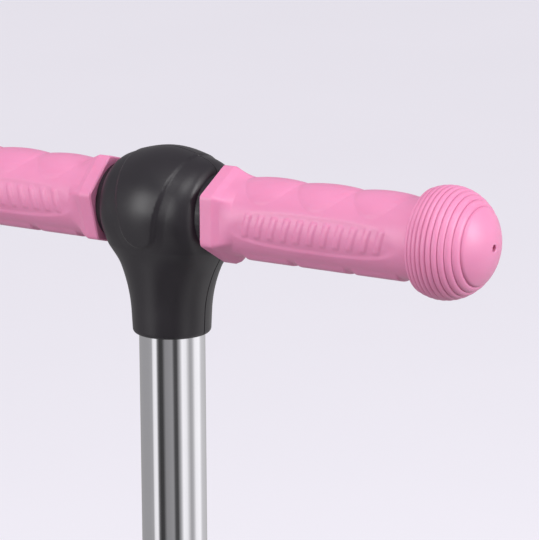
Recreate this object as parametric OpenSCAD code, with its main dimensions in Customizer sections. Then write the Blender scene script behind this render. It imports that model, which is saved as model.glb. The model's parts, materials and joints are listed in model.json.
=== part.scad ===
// Children's kick scooter: three wheels, steered by leaning, with a telescoping T-bar.
// +Z is up, the scooter travels towards -Y, and +X is the rider's left.
// The origin is on the ground, under the middle of the scooter.

/* [Overall] */
// Height of the handlebar's axis above the ground at rest
bar_height = 700; // [680:5:720]
// Distance between the front and rear axles
wheelbase = 470; // [460:5:480]
// Backward lean of the steering column, in degrees
rake = 5; // [3:0.5:6]

/* [Handlebar] */
// Half width of the handlebar, to the tip of a grip's ball end
bar_half = 138.5; // [134:0.5:144]
// Diameter of the tube inside the grips
cross_tube_d = 22.2; // [22:0.1:22.4]
// Diameter of the grip's body
grip_d = 30.6; // [30:0.2:32]
// Distance across the corners of the grip's six-sided flange
flange_d = 37.6; // [36:0.2:39]
// Diameter of the ball end, at least 40 for safety
ball_d = 40.9; // [40:0.1:42]
// Length of the ball end along the bar, from its widest place to its tip
ball_nose = 18.3; // [17:0.1:19]

/* [Column] */
// Diameter of the chromed upper tube
upper_tube_d = 25.4; // [25:0.1:25.6]
// Diameter of the lower tube
lower_tube_d = 31.8; // [31.6:0.1:32]
// Length of the lower tube
lower_tube_len = 385; // [370:5:395]
// Length of upper tube that is inside the lower tube at rest
insert_len = 130; // [125:5:150]
// Wall thickness of all the tubes
tube_wall = 1.5; // [1.2:0.1:1.5]

/* [Wheels] */
// Diameter of the two front wheels
front_wheel_d = 120; // [116:1:120]
// Diameter of the rear wheel
rear_wheel_d = 80; // [78:1:80]
// Width of each wheel
wheel_w = 24; // [22:1:24]
// Distance of each front wheel's middle from the centre line
track_half = 108; // [106:1:110]

/* [Deck] */
// Greatest width of the deck
deck_w = 128; // [120:2:136]
// Height of the deck's top above the ground
deck_top = 72; // [71:0.5:73]
// Thickness of the deck's edge
deck_t = 24; // [22:1:26]

/* [Hidden] */
$fn = 72;
e = 0.05;                                  // clearance of a close fit, per side
cut = 1;                                   // how far a cutter runs past a face
gap = 0.3;                                 // clearance between pieces that pass each other

front_y = -wheelbase / 2 + (front_wheel_d - rear_wheel_d) / 4;
rear_y = front_y + wheelbase;
front_r = front_wheel_d / 2;
rear_r = rear_wheel_d / 2;

// Steering column: its own frame has the lower tube's foot at the origin and its axis along +Z
column_y = front_y + 12;
column_z = 106;
column_len = (bar_height - column_z) / cos(rake);
lower_r = lower_tube_d / 2;
upper_r = upper_tube_d / 2;
cross_r = cross_tube_d / 2;
upper_foot_z = lower_tube_len - insert_len;
column_bolt_z = 30;

// T-joint: its own frame has the bar's axis through the origin
neck_z = -48.5;                            // lower end of the neck
neck_r = 15.2;
arm_r = 21.1;
arm_end = 22;
band_r = 23.7;
core_r = 15;                               // sleeve of the core, which shows beside each grip
flange_x = 24.6;                           // inner end of each grip
core_top_z = -16.5;                        // top of the upper tube
shell_screws = [[5, 18.2], [-5, 18.2], [14.8, -21.5], [-14.8, -21.5]];
shell_screw_y = 4;                         // seat of the heads, behind the bar's axis
shell_screw_head = 2.4;

// Truck: its own frame has the axles' line through the origin, X across and Z along the kingpin
king_tilt = 45;
boss_r = 14;
boss_half = 11;
bush_h = 7;
lug_in = boss_half + bush_h + 0.4;
lug_out = lug_in + 10;
saddle_low = 19;
saddle_high = 27;
beam_end = 88;
king_r = 5;

front_rim_r = 42;
rear_rim_r = 27;
bearing_r = 11;
bearing_w = 7;
axle_r = 4;

fork_in = 15.6;
fork_out = 26;
brake_y = rear_y - 42;
brake_z = 79;
brake_r = 2.5;
brake_dir = atan2(rear_r - brake_z, rear_y - brake_y);   // from the pin towards the axle
fender_in = rear_r + 6.6;
fender_t = 3;
fender_half = 19;
fender_neck = 15.2;                        // half width between the fork's posts
fender_rear = 53;                          // end of the plate, degrees behind straight up
ear_in = 9;
ear_w = 5.4;
ear_r = 6;

pink = [0.93, 0.52, 0.70];
black = [0.10, 0.10, 0.11];
chrome = [0.80, 0.80, 0.82];
silver = [0.66, 0.67, 0.69];
steel = [0.55, 0.55, 0.57];
milky = [0.95, 0.84, 0.90];

// ---------------------------------------------------------------- shared shapes

module column() translate([0, column_y, column_z]) rotate([-rake, 0, 0]) children();
module t_frame() column() translate([0, 0, column_len]) children();
module truck_frame() translate([0, front_y, front_r]) rotate([king_tilt, 0, 0]) children();
module along_x() rotate([0, 90, 0]) children();
module mirrored(side) mirror([side < 0 ? 1 : 0, 0, 0]) children();

// A ring about Z, from z to z + h
module ring(r_out, r_in, h, z = 0) translate([0, 0, z]) difference() {
    cylinder(r = r_out, h = h);
    translate([0, 0, -cut]) cylinder(r = r_in, h = h + 2 * cut);
}

// A solid turned about X, from points [x, radius]
module turned_x(points) rotate([90, 0, 90]) rotate_extrude() polygon([for (p = points) [p[1], p[0]]]);

// A screw or bolt along Z: head below z = 0, shank from 0 to length
module screw(r, length, head_r, head_h, drive = 6) difference() {
    union() {
        cylinder(r = r, h = length);
        translate([0, 0, -head_h]) cylinder(r = head_r, h = head_h);
    }
    translate([0, 0, -head_h - cut]) cylinder(r = head_r * 0.5, h = head_h * 0.6 + cut, $fn = drive);
}

// ---------------------------------------------------------------- handlebar

// Ball end's radius at a distance along the bar from its widest place
function ball_at(x) = ball_d / 2 * sqrt(max(0, 1 - pow(x / ball_nose, 2)));

module grip() color(pink) {
    ball_x = bar_half - ball_nose;
    back = -7.4;
    steps = 14;
    difference() {
        union() {
            translate([flange_x, 0, 0]) along_x() rotate(90) cylinder(d = flange_d, h = 9, $fn = 6);
            turned_x(concat(
                [[flange_x, 0], [flange_x, grip_d / 2], [flange_x + 9, grip_d / 2 + 1.6]],
                [[flange_x + 13, grip_d / 2]],
                [[ball_x + back, grip_d / 2], [ball_x + back, ball_at(back) - 1]],
                [for (i = [1 : steps - 1])
                    let (a = 112 * (1 - i / steps)) [ball_x + ball_nose * cos(a), ball_d / 2 * sin(a)]],
                [[bar_half, 0]]));
        }
        translate([flange_x - cut, 0, 0]) along_x() cylinder(r = cross_r + e, h = 100 + cut);
        translate([bar_half - 3, 0, 0]) along_x() cylinder(r = 1.3, h = 3 + cut);
    }
}
module grip_left() t_frame() grip();
module grip_right() t_frame() mirror([1, 0, 0]) grip();

module cross_tube() color(chrome) t_frame() translate([-120, 0, 0]) along_x()
    ring(cross_r, cross_r - tube_wall, 240);

// Sleeve that carries the cross tube, with a spigot that fills the top of the upper tube
module t_core() color(black) t_frame() difference() {
    union() {
        translate([-flange_x + gap, 0, 0]) along_x() cylinder(r = core_r, h = 2 * (flange_x - gap));
        translate([0, 0, neck_z + 3]) cylinder(r = upper_r - tube_wall - e, h = -neck_z - 10);
    }
    translate([-flange_x, 0, 0]) along_x() cylinder(r = cross_r + e, h = 2 * flange_x);
    translate([0, 0, -35]) rotate([-90, 0, 0]) cylinder(r = 1.7, h = 30);
}

// Neck's radius: a straight collar below, and a hollow flare up into the bulb
function neck_at(z) = neck_r + 0.0133 * pow(max(0, z + 40), 2);
function arm_at(x) = arm_r * sqrt(1 - pow(x / 25.5, 8));
function band_at(x) = band_r * sqrt(1 - pow(x / 26, 2));

module t_outer() {
    band_x = 12;
    turned_x(concat([[-band_x, 0]], [for (i = [-4 : 4]) [i * 3, band_at(i * 3)]], [[band_x, 0]]));
    for (side = [-1, 1]) mirrored(side)
        turned_x(concat([[0, 0]], [for (x = [0, 14, 17, 19, 20.5, 21.5, arm_end]) [x, arm_at(x)]],
            [[arm_end, 0]]));
    rotate_extrude() polygon(concat(
        [[0, neck_z], [neck_r - 1.8, neck_z], [neck_r - 0.4, neck_z + 0.7], [neck_r, neck_z + 2]],
        [for (z = [-40, -36, -32, -28, -24, -20]) [neck_at(z), z]],
        [[0, -14]]));
}

module t_shell(front) difference() {
    intersection() {
        t_outer();
        translate([-30, front ? -30 : 0, -60]) cube([60, 30, 100]);
    }
    translate([-30, 0, 0]) along_x() cylinder(r = core_r + e, h = 60);
    translate([0, 0, neck_z - cut]) cylinder(r = upper_r + e, h = -neck_z - 8);
    for (s = shell_screws) translate([s[0], 0, s[1]]) rotate([90, 0, 0]) {
        cylinder(r = 1.5, h = 7);
        translate([0, 0, -20]) cylinder(r = 1.7, h = 20);
        translate([0, 0, -30]) cylinder(r = shell_screw_head + 0.2, h = 30 - shell_screw_y);
    }
    if (!front) translate([0, 0, -35]) rotate([-90, 0, 0]) cylinder(r = 3.6, h = 30);
}
module t_shell_front() color(black) t_frame() t_shell(true);
module t_shell_rear() color(black) t_frame() t_shell(false);

module t_shell_screws() color(steel) t_frame()
    for (s = shell_screws) translate([s[0], shell_screw_y, s[1]]) rotate([90, 0, 0])
        screw(1.45, shell_screw_y + 6, shell_screw_head, 2);

// Screw through the back of the upper tube into the core's spigot
module core_screw() color(steel) t_frame() translate([0, upper_r + 0.2, -35]) rotate([90, 0, 0])
    screw(1.6, 11, 3.2, 1.8);

// ---------------------------------------------------------------- column

module upper_tube() color(chrome) column() difference() {
    ring(upper_r, upper_r - tube_wall, column_len + core_top_z - upper_foot_z, upper_foot_z);
    translate([0, 0, column_len - 35]) rotate([-90, 0, 0]) cylinder(r = 1.7, h = 30);
}

// Plug in the foot of the upper tube, which slides in the lower tube
module upper_tube_foot() color(black) column() translate([0, 0, upper_foot_z - 8]) {
    ring(lower_r - tube_wall - e, 8, 8 - e);
    ring(upper_r - tube_wall - e, 8, 20, 8 - e);
}

module lower_tube() color(silver) column() difference() {
    ring(lower_r, lower_r - tube_wall, lower_tube_len);
    translate([0, 40, column_bolt_z]) rotate([90, 0, 0]) cylinder(r = 3 + e, h = 80);
}

// Plastic guide in the mouth of the lower tube
module lower_tube_bush() color(black) column() {
    ring(lower_r - tube_wall - e, upper_r + e, 40, lower_tube_len - 40 + e);
    ring(lower_r + 1.5, upper_r + e, 3, lower_tube_len + e);
}

clamp_z = lower_tube_len - 34;
clamp_h = 30;
clamp_r = 20.6;
bolt_y = 25.5;
cam_x = 16;

module clamp_collar() color(black) column() translate([0, 0, clamp_z]) difference() {
    union() {
        cylinder(r = clamp_r, h = clamp_h);
        for (side = [-1, 1]) mirrored(side) translate([1.5, 12, 4]) cube([8, bolt_y - 12, clamp_h - 8]);
        for (side = [-1, 1]) mirrored(side) translate([1.5, bolt_y, clamp_h / 2]) along_x()
            cylinder(r = clamp_h / 2 - 4, h = 8);
    }
    translate([0, 0, -cut]) cylinder(r = lower_r + e, h = clamp_h + 2 * cut);
    translate([-1.5, 0, -cut]) cube([3, 40, clamp_h + 2 * cut]);
    translate([-20, bolt_y, clamp_h / 2]) along_x() cylinder(r = 2.6, h = 40);
}

module clamp_bolt() color(steel) column() translate([0, bolt_y, clamp_z + clamp_h / 2]) difference() {
    union() {
        translate([-17, 0, 0]) along_x() cylinder(r = 2.5, h = 17 + cam_x - 2);
        translate([cam_x, 0, -4]) cylinder(r = 4, h = 8);
    }
    translate([cam_x, 0, -5]) cylinder(r = 2 + e, h = 10);
}

module clamp_nut() color(steel) column() translate([-17.2, bolt_y, clamp_z + clamp_h / 2]) along_x()
    difference() {
        translate([0, 0, 0.5]) cylinder(r = 5.4, h = 7);
        translate([0, 0, -cut]) cylinder(r = 2.5 + e, h = 20);
    }

// Cam fork on the pin, and a blade that hugs the side of the collar
module clamp_lever() color(black) column() translate([0, 0, clamp_z + clamp_h / 2]) {
    blade_in = clamp_r + 3.4;
    blade_out = blade_in + 3.6;
    difference() {
        union() {
            for (z = [-9, 4 + gap]) translate([cam_x, bolt_y, z]) cylinder(r = 6, h = 5 - gap);
            intersection() {
                ring(blade_out, blade_in, 18 - gap, -9);
                translate([0, 0, -10]) linear_extrude(20)
                    polygon([[0, 0], [60, -52], [60, 46]]);
            }
            for (z = [-9, 4 + gap]) translate([0, 0, z]) linear_extrude(5 - gap)
                polygon([[cam_x - 1, bolt_y - 5.9], [cam_x + 1, bolt_y + 5.9], [23.5, 15.5], [20.4, 13.8]]);
        }
        translate([cam_x, bolt_y, -12]) cylinder(r = 2 + e, h = 24);
        translate([0, 0, -4 - gap]) cylinder(r = clamp_r + 2.4, h = 8 + 2 * gap);
    }
}

module clamp_lever_pin() color(steel) column()
    translate([cam_x, bolt_y, clamp_z + clamp_h / 2 - 9]) cylinder(r = 2, h = 18 - gap);

// ---------------------------------------------------------------- front housing and truck

housing_screws_at = [[26, front_y + 66], [-26, front_y + 66], [26, front_y + 104], [-26, front_y + 104]];
housing_base = deck_top + 0.1;

module front_housing() color(black) difference() {
    union() {
        hull() {
            column() translate([0, 0, 4]) cylinder(r = 24, h = 4, $fn = 32);
            translate([0, front_y + 62, housing_base]) cylinder(r = 34, h = 3, $fn = 32);
            translate([0, front_y + 92, housing_base]) cylinder(r = 36, h = 3, $fn = 32);
            translate([0, front_y - 8, 100]) cylinder(r = 20, h = 6, $fn = 32);
        }
        column() cylinder(r = 22, h = 48);
        column() translate([0, 0, 44]) cylinder(r1 = 22, r2 = 19.5, h = 12);
    }
    column() cylinder(r = lower_r + e, h = 80);
    truck_frame() translate([-16, 0, -lug_out - gap]) cube([32, saddle_high + gap, 2 * (lug_out + gap)]);
    truck_frame() translate([-50, -30, -30]) cube([100, 49, 60]);
    for (s = housing_screws_at) translate([s[0], s[1], deck_top - 5]) cylinder(r = 1.9, h = 14);
    column() translate([0, 40, column_bolt_z]) rotate([90, 0, 0]) cylinder(r = 3 + e, h = 80);
    bracket_bolt_holes();
}

module housing_screws() color(steel)
    for (s = housing_screws_at) translate([s[0], s[1], deck_top - 12]) screw(1.85, 20, 4, 3);

// Bolt that ties the lower tube to the housing, with its nut at the back
module column_bolt() color(steel) column() translate([0, -24.2, column_bolt_z]) rotate([-90, 0, 0]) {
    screw(3, 52, 5.5, 3);
    ring(5.4, 3, 5, 46.6);
}

module bracket_bolt_places() for (x = [-9, 9]) truck_frame()
    translate([x, saddle_low, -13]) rotate([-90, 0, 0]) children();
module bracket_bolt_holes() bracket_bolt_places() translate([0, 0, -cut]) cylinder(r = 2.9, h = 22 + cut);

// C-shaped bracket that holds both ends of the kingpin
module truck_bracket() color(steel) difference() {
    truck_frame() difference() {
        union() {
            translate([-15, saddle_low, -lug_out]) cube([30, saddle_high - saddle_low, 2 * lug_out]);
            for (z = [lug_in, -lug_out]) translate([0, 0, z]) {
                cylinder(r = 15, h = lug_out - lug_in);
                translate([-15, 0, 0]) cube([30, saddle_high, lug_out - lug_in]);
            }
        }
        translate([0, 0, -50]) cylinder(r = king_r + e, h = 100);
    }
    bracket_bolt_holes();
}

module bracket_bolts() color(steel) bracket_bolt_places() translate([0, 0, -0.1]) screw(2.85, 19, 4.6, 2.6);

module kingpin() color(steel) truck_frame() translate([0, 0, lug_out + 0.1]) rotate([180, 0, 0])
    screw(king_r, 2 * lug_out + 9, 8.5, 5.5);
module kingpin_nut() color(steel) truck_frame() translate([0, 0, -lug_out - 8.1]) difference() {
    cylinder(r = 8.6, h = 8, $fn = 6);
    translate([0, 0, -cut]) cylinder(r = king_r, h = 10);
}

// Urethane bushes each side of the beam's boss
module lean_bushes() color(pink) truck_frame()
    for (z = [boss_half + 0.2, -boss_half - bush_h - 0.2]) ring(12.5, king_r + e, bush_h, z);

module truck_beam() color(silver) truck_frame() difference() {
    union() {
        cylinder(r = boss_r, h = 2 * boss_half, center = true);
        for (side = [-1, 1]) mirrored(side) along_x() {
            translate([0, 0, 8]) cylinder(r1 = 10.5, r2 = 9, h = beam_end - 8);
            translate([0, 0, beam_end - 12]) cylinder(r = 11.5, h = 12);
        }
    }
    translate([0, 0, -20]) cylinder(r = king_r + e, h = 40);
    for (side = [-1, 1]) mirrored(side) translate([56, 0, 0]) along_x() cylinder(r = axle_r, h = 40);
}

wheel_in = track_half - wheel_w / 2;
wheel_out = track_half + wheel_w / 2;

module front_axle(side) color(steel) mirrored(side)
    translate([wheel_out + 0.7, front_y, front_r]) rotate([0, -90, 0])
        screw(axle_r - 0.02, wheel_out - 58, 6.5, 3.2);
module front_axle_left() front_axle(1);
module front_axle_right() front_axle(-1);

module at_front_wheel(side) mirrored(side) translate([0, front_y, front_r]) along_x() children();

// Washer stack beside the wheel, and the sleeve between its bearings
module front_spacers(side) color(steel) at_front_wheel(side) {
    ring(6.4, axle_r, wheel_in - beam_end - 0.2, beam_end + 0.1);
    ring(5.6, axle_r, wheel_w - 2 * bearing_w - 1.2, wheel_in + bearing_w + 0.6);
}
module front_spacers_left() front_spacers(1);
module front_spacers_right() front_spacers(-1);

// ---------------------------------------------------------------- wheels, each about its own axis and middle

// Cast tyre with a crowned tread and a bead that grips the hub's rim
module tyre(r, w, rim_r) rotate_extrude() difference() {
    intersection() {
        translate([r - w * 0.72, 0]) circle(r = w * 0.72, $fn = 64);
        translate([rim_r, -w / 2]) square([r, w]);
    }
    translate([rim_r - 2, -w / 5]) square([4.5, w / 2.5]);
}

// Moulded hub: bearing seats at each end, a rim with a key for the tyre, and spokes
module hub(rim_r, w, spokes) difference() {
    union() {
        ring(rim_r - e, rim_r - 5, w - 4, -w / 2 + 2);
        ring(rim_r + 2.4, rim_r - 3, w / 2.5 - 2 * e, -w / 5 + e);
        cylinder(r = 15, h = w, center = true);
        for (i = [0 : spokes - 1]) rotate(i * 360 / spokes) translate([10, -3.5, -w / 2 + 5])
            cube([rim_r - 13, 7, w - 10]);
        ring(rim_r - 2, 10, 3, -1.5);
    }
    cylinder(r = 8.5, h = w + 2 * cut, center = true);
    for (side = [0, 1]) mirror([0, 0, side]) translate([0, 0, w / 2 - bearing_w])
        cylinder(r = bearing_r + 0.02, h = bearing_w + cut);
}

// A shielded bearing: two races with a recessed shield between them
module bearing(z) translate([0, 0, z]) rotate_extrude() difference() {
    translate([axle_r + e, 0]) square([bearing_r - axle_r - 2 * e, bearing_w]);
    translate([6.2, -cut]) square([2.8, cut + 0.5]);
    translate([6.2, bearing_w - 0.5]) square([2.8, cut + 0.5]);
}
module bearings(w) {
    bearing(w / 2 - bearing_w);
    bearing(-w / 2);
}

module front_tyre(side) color(milky) at_front_wheel(side) translate([0, 0, track_half])
    tyre(front_r, wheel_w, front_rim_r);
module front_hub(side) color(pink) at_front_wheel(side) translate([0, 0, track_half])
    hub(front_rim_r, wheel_w, 6);
module front_bearings(side) color(steel) at_front_wheel(side) translate([0, 0, track_half]) bearings(wheel_w);
module front_tyre_left() front_tyre(1);
module front_tyre_right() front_tyre(-1);
module front_hub_left() front_hub(1);
module front_hub_right() front_hub(-1);
module front_bearings_left() front_bearings(1);
module front_bearings_right() front_bearings(-1);

// Domed cap on the outer end of a front hub, over the axle's head
module hub_cap(side) color(black) at_front_wheel(side) translate([0, 0, wheel_out + e]) rotate_extrude()
    polygon([[0, 7.2], [0, 5.6], [9, 5.6], [9, 0], [14.4, 0], [14.4, 2.4], [13.4, 4.6], [10.8, 6.2], [6, 7]]);
module hub_cap_left() hub_cap(1);
module hub_cap_right() hub_cap(-1);

module at_rear_wheel() translate([0, rear_y, rear_r]) along_x() children();
module rear_tyre() color(milky) at_rear_wheel() tyre(rear_r, wheel_w, rear_rim_r);
module rear_hub() color(pink) at_rear_wheel() hub(rear_rim_r, wheel_w, 5);
module rear_bearings() color(steel) at_rear_wheel() bearings(wheel_w);
module rear_axle() color(steel) translate([fork_out + 0.1, rear_y, rear_r]) rotate([0, -90, 0])
    screw(axle_r - 0.02, 2 * fork_out + 7, 6.8, 4);
module rear_axle_nut() color(steel) translate([-fork_out - 6.6, rear_y, rear_r]) along_x() difference() {
    cylinder(r = 7.4, h = 6.5, $fn = 6);
    translate([0, 0, -cut]) cylinder(r = axle_r, h = 9);
}
module rear_spacers() color(steel) at_rear_wheel() {
    side = fork_in - wheel_w / 2 - 0.4;
    for (z = [wheel_w / 2 + 0.2, -fork_in + 0.2]) ring(6.4, axle_r, side, z);
    ring(5.6, axle_r, wheel_w - 2 * bearing_w - 1.2, -wheel_w / 2 + bearing_w + 0.6);
}

// ---------------------------------------------------------------- deck

deck_front = front_y + 48;
deck_rear = rear_y - 50;

// Deck's half width at y: a narrow nose, full in the middle, drawn in at the tail
function ease(t) = let (c = min(1, max(0, t))) c * c * (3 - 2 * c);
function deck_half(y) = let (
    nose = ease((y - deck_front) / 120),
    tail = ease((deck_rear - y) / 110)
) 38 + (deck_w / 2 - 38) * nose - (deck_w / 2 - 36) * (1 - tail);

module deck_outline(inset, y0, y1, steps = 36) {
    ys = [for (i = [0 : steps]) y0 + (y1 - y0) * i / steps];
    polygon(concat(
        [for (y = ys) [deck_half(y) - inset, y]],
        [for (i = [steps : -1 : 0]) [-(deck_half(ys[i]) - inset), ys[i]]]));
}

module deck() color(pink) {
    floor_z = deck_top - deck_t;
    skin = 4;
    difference() {
        union() {
            translate([0, 0, floor_z]) linear_extrude(deck_t) deck_outline(0, deck_front, deck_rear);
            for (side = [-1, 1]) mirrored(side) {
                translate([fork_in, deck_rear - 10, 30]) cube([fork_out - fork_in, 10, 38]);
                translate([fork_in, deck_rear - 1, 30])
                    cube([fork_out - fork_in, rear_y - deck_rear + 1, 20]);
                translate([fork_in, rear_y, rear_r]) along_x() cylinder(r = 10, h = fork_out - fork_in);
                translate([fork_in, brake_y - 8, floor_z]) cube([fork_out - fork_in, 16, brake_z - floor_z]);
                translate([fork_in, brake_y, brake_z]) along_x() cylinder(r = 8, h = fork_out - fork_in);
            }
        }
        // hollow underside, with ribs across and a rib along the middle
        difference() {
            translate([0, 0, floor_z - cut]) linear_extrude(deck_t - skin + cut)
                deck_outline(skin, deck_front + 64, deck_rear - 12);
            for (i = [1 : 5]) translate([-80, deck_front + 64 + i * 38, floor_z - 2 * cut])
                cube([160, 3, deck_t]);
            translate([-2, deck_front, floor_z - 2 * cut]) cube([4, 400, deck_t]);
        }
        translate([0, 0, deck_top - 1.5]) linear_extrude(3) deck_outline(8, deck_front + 82, deck_rear - 16);
        for (side = [-1, 1]) mirrored(side) {
            translate([fork_in - cut, rear_y, rear_r]) along_x() cylinder(r = axle_r, h = 40);
            translate([fork_in - cut, brake_y, brake_z]) along_x() cylinder(r = brake_r, h = 40);
        }
        for (s = housing_screws_at) translate([s[0], s[1], floor_z - cut]) {
            cylinder(r = 1.9, h = 40);
            cylinder(r = 4.4, h = cut + deck_t - 12 + 0.1);
        }
    }
}

// Rubber mat in the deck's recess, with raised ribs across it
module grip_mat() color([0.2, 0.2, 0.21]) {
    y0 = deck_front + 82.3;
    y1 = deck_rear - 16.3;
    translate([0, 0, deck_top - 1.4]) linear_extrude(2.9) deck_outline(8.3, y0, y1);
}

// ---------------------------------------------------------------- foot brake

// Sector of a drum about the rear axle, between two angles from straight up (positive is to the rear)
module sector(a0, a1, steps = 12) linear_extrude(200, center = true) polygon(concat([[0, 0]],
    [for (i = [0 : steps]) let (a = a0 + (a1 - a0) * i / steps) [-100 * cos(a), 100 * sin(a)]]));

// Curved plate over the wheel, with two ears that turn on the pin
module brake_fender() color(black) difference() {
    union() {
        at_rear_wheel() intersection() {
            ring(fender_in + fender_t, fender_in, 2 * fender_half, -fender_half);
            sector(-50, fender_rear);
        }
        for (side = [-1, 1]) mirrored(side) translate([ear_in, brake_y, brake_z]) {
            along_x() cylinder(r = ear_r, h = ear_w);
            rotate([brake_dir, 0, 0]) translate([0, 0, -2]) cube([ear_w, 9.6, 7.6]);
        }
    }
    translate([-30, brake_y, brake_z]) along_x() cylinder(r = brake_r + e, h = 60);
    for (side = [-1, 1]) mirrored(side) translate([fender_neck, rear_y - 60, rear_r]) cube([10, 38, 60]);
}

// Metal pad riveted under the plate, which rubs on the tyre
module brake_pad() color(steel) at_rear_wheel() intersection() {
    ring(fender_in - 0.1, fender_in - 2.3, 22, -11);
    sector(-18, 22);
}
module brake_pad_rivets() color(steel) for (a = [10, -14]) translate([0, rear_y, rear_r]) rotate([a, 0, 0])
    translate([0, 0, fender_in + fender_t + 0.1]) cylinder(r = 2.6, h = 1.2);

module brake_pin() color(steel) translate([-fork_out - 2, brake_y, brake_z]) along_x() {
    cylinder(r = brake_r - 0.02, h = 2 * fork_out + 4);
    translate([0, 0, -1.5]) cylinder(r = 4, h = 3.4);
}

// Torsion spring on the pin: a helix of wire with a straight leg at each end
spring_r = 4.6;
wire_r = 0.8;
spring_turns = 5;
spring_half = 6.5;
function spring_path() = concat(
    [[-spring_half, -14, -spring_r - 0.8]],
    [for (i = [0 : spring_turns * 12]) let (a = i * 30)
        [-spring_half + 2 * spring_half * i / (spring_turns * 12), spring_r * sin(a), -spring_r * cos(a)]],
    [[spring_half, 6.6, -12.6]]);
function unit(v) = v / norm(v);
module sweep(path, r, sides = 8) {
    n = len(path);
    tangents = [for (i = [0 : n - 1]) unit(path[min(n - 1, i + 1)] - path[max(0, i - 1)])];
    points = [for (i = [0 : n - 1]) let (
        side = unit(cross(tangents[i], abs(tangents[i][0]) > 0.9 ? [0, 1, 0] : [1, 0, 0])),
        up = cross(tangents[i], side)
    ) for (k = [0 : sides - 1]) path[i] + r * (cos(k * 360 / sides) * side + sin(k * 360 / sides) * up)];
    faces = concat(
        [[for (k = [0 : sides - 1]) k]],
        [for (i = [0 : n - 2]) for (k = [0 : sides - 1]) let (next = (k + 1) % sides)
            [i * sides + k, (i + 1) * sides + k, (i + 1) * sides + next, i * sides + next]],
        [[for (k = [sides - 1 : -1 : 0]) (n - 1) * sides + k]]);
    polyhedron(points, faces, convexity = 10);
}
module brake_spring() color(steel) translate([0, brake_y, brake_z]) sweep(spring_path(), wire_r);

// ---------------------------------------------------------------- output

grip_left();
grip_right();
cross_tube();
t_core();
t_shell_front();
t_shell_rear();
t_shell_screws();
core_screw();
upper_tube();
upper_tube_foot();
lower_tube();
lower_tube_bush();
clamp_collar();
clamp_bolt();
clamp_nut();
clamp_lever();
clamp_lever_pin();
front_housing();
housing_screws();
column_bolt();
truck_bracket();
bracket_bolts();
kingpin();
kingpin_nut();
lean_bushes();
truck_beam();
front_axle_left();
front_axle_right();
front_spacers_left();
front_spacers_right();
front_tyre_left();
front_tyre_right();
front_hub_left();
front_hub_right();
front_bearings_left();
front_bearings_right();
hub_cap_left();
hub_cap_right();
deck();
grip_mat();
rear_tyre();
rear_hub();
rear_bearings();
rear_axle();
rear_axle_nut();
rear_spacers();
brake_fender();
brake_pad();
brake_pad_rivets();
brake_pin();
brake_spring();
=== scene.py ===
"""Looks of a children's lean-to-steer kick scooter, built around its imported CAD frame.

Shapes are worked in millimetres in the frame of their own sub-assembly, and become metres when placed.
"""

import json
import logging
import math
from dataclasses import dataclass
from enum import Enum
from typing import Callable, Iterable, Sequence

import bmesh
import bpy
import numpy as np
from mathutils import Matrix, Vector

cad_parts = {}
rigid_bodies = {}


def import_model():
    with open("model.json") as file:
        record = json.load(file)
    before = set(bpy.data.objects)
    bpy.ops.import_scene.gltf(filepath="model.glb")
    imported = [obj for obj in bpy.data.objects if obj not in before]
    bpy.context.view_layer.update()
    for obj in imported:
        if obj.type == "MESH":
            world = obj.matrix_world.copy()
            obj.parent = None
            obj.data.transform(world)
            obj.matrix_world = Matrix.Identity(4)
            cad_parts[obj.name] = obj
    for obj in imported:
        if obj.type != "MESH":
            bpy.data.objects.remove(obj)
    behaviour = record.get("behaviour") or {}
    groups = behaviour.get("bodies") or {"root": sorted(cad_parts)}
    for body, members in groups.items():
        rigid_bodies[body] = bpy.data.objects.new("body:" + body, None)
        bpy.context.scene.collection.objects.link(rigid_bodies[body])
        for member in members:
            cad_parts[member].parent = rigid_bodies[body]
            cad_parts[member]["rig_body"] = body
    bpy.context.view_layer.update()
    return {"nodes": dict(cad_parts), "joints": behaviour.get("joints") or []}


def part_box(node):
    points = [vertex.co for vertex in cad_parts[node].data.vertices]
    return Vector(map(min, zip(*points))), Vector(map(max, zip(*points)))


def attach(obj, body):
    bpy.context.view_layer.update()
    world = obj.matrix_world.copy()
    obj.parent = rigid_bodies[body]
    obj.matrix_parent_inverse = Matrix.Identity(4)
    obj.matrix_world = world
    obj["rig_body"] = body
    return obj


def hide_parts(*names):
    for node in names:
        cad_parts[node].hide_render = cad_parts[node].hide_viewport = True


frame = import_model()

LOG = logging.getLogger("kick_scooter")
MM = 0.001
FULL_TURN = 2 * math.pi
Outline = Sequence[tuple[float, float]]


class Side(Enum):
    """The rider's left is +X, and the right is -X."""

    LEFT = 1
    RIGHT = -1

    @property
    def word(self) -> str:
        """Side as it stands in the names of nodes and pieces."""
        return self.name.lower()


class Turn(Enum):
    """Axis that a turned shape is spun about."""

    X = (1.0, 0.0, 0.0)
    Z = (0.0, 0.0, 1.0)


# ------------------------------------------------------------------ places


def joint(name: str) -> dict:
    """Finds one of the frame's joints by its name."""
    return next(j for j in frame["joints"] if j["name"] == name)


def place_at(origin: Sequence[float], up: Sequence[float], across: Sequence[float] = (1, 0, 0)) -> Matrix:
    """Frame of a sub-assembly, from its own millimetres to the object's metres.

    Args:
        origin: where the frame's origin is, in metres.
        up: direction of its Z axis.
        across: direction of its X axis, square to up.

    Returns:
        The matrix from the sub-assembly's frame to the object's.
    """
    z, x = Vector(up).normalized(), Vector(across).normalized()
    turn = Matrix((x, z.cross(x), z)).transposed().to_4x4()
    return Matrix.Translation(origin) @ turn @ Matrix.Scale(MM, 4)


def extent(node: str, place: Matrix) -> tuple[Vector, Vector]:
    """Lowest and highest corners of a CAD node in a sub-assembly's frame.

    Args:
        node: name of the CAD node.
        place: the sub-assembly's frame.

    Returns:
        The two corners, in millimetres.
    """
    inverse = place.inverted()
    spots = np.array([inverse @ v.co for v in frame["nodes"][node].data.vertices])
    return Vector(spots.min(0)), Vector(spots.max(0))


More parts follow.
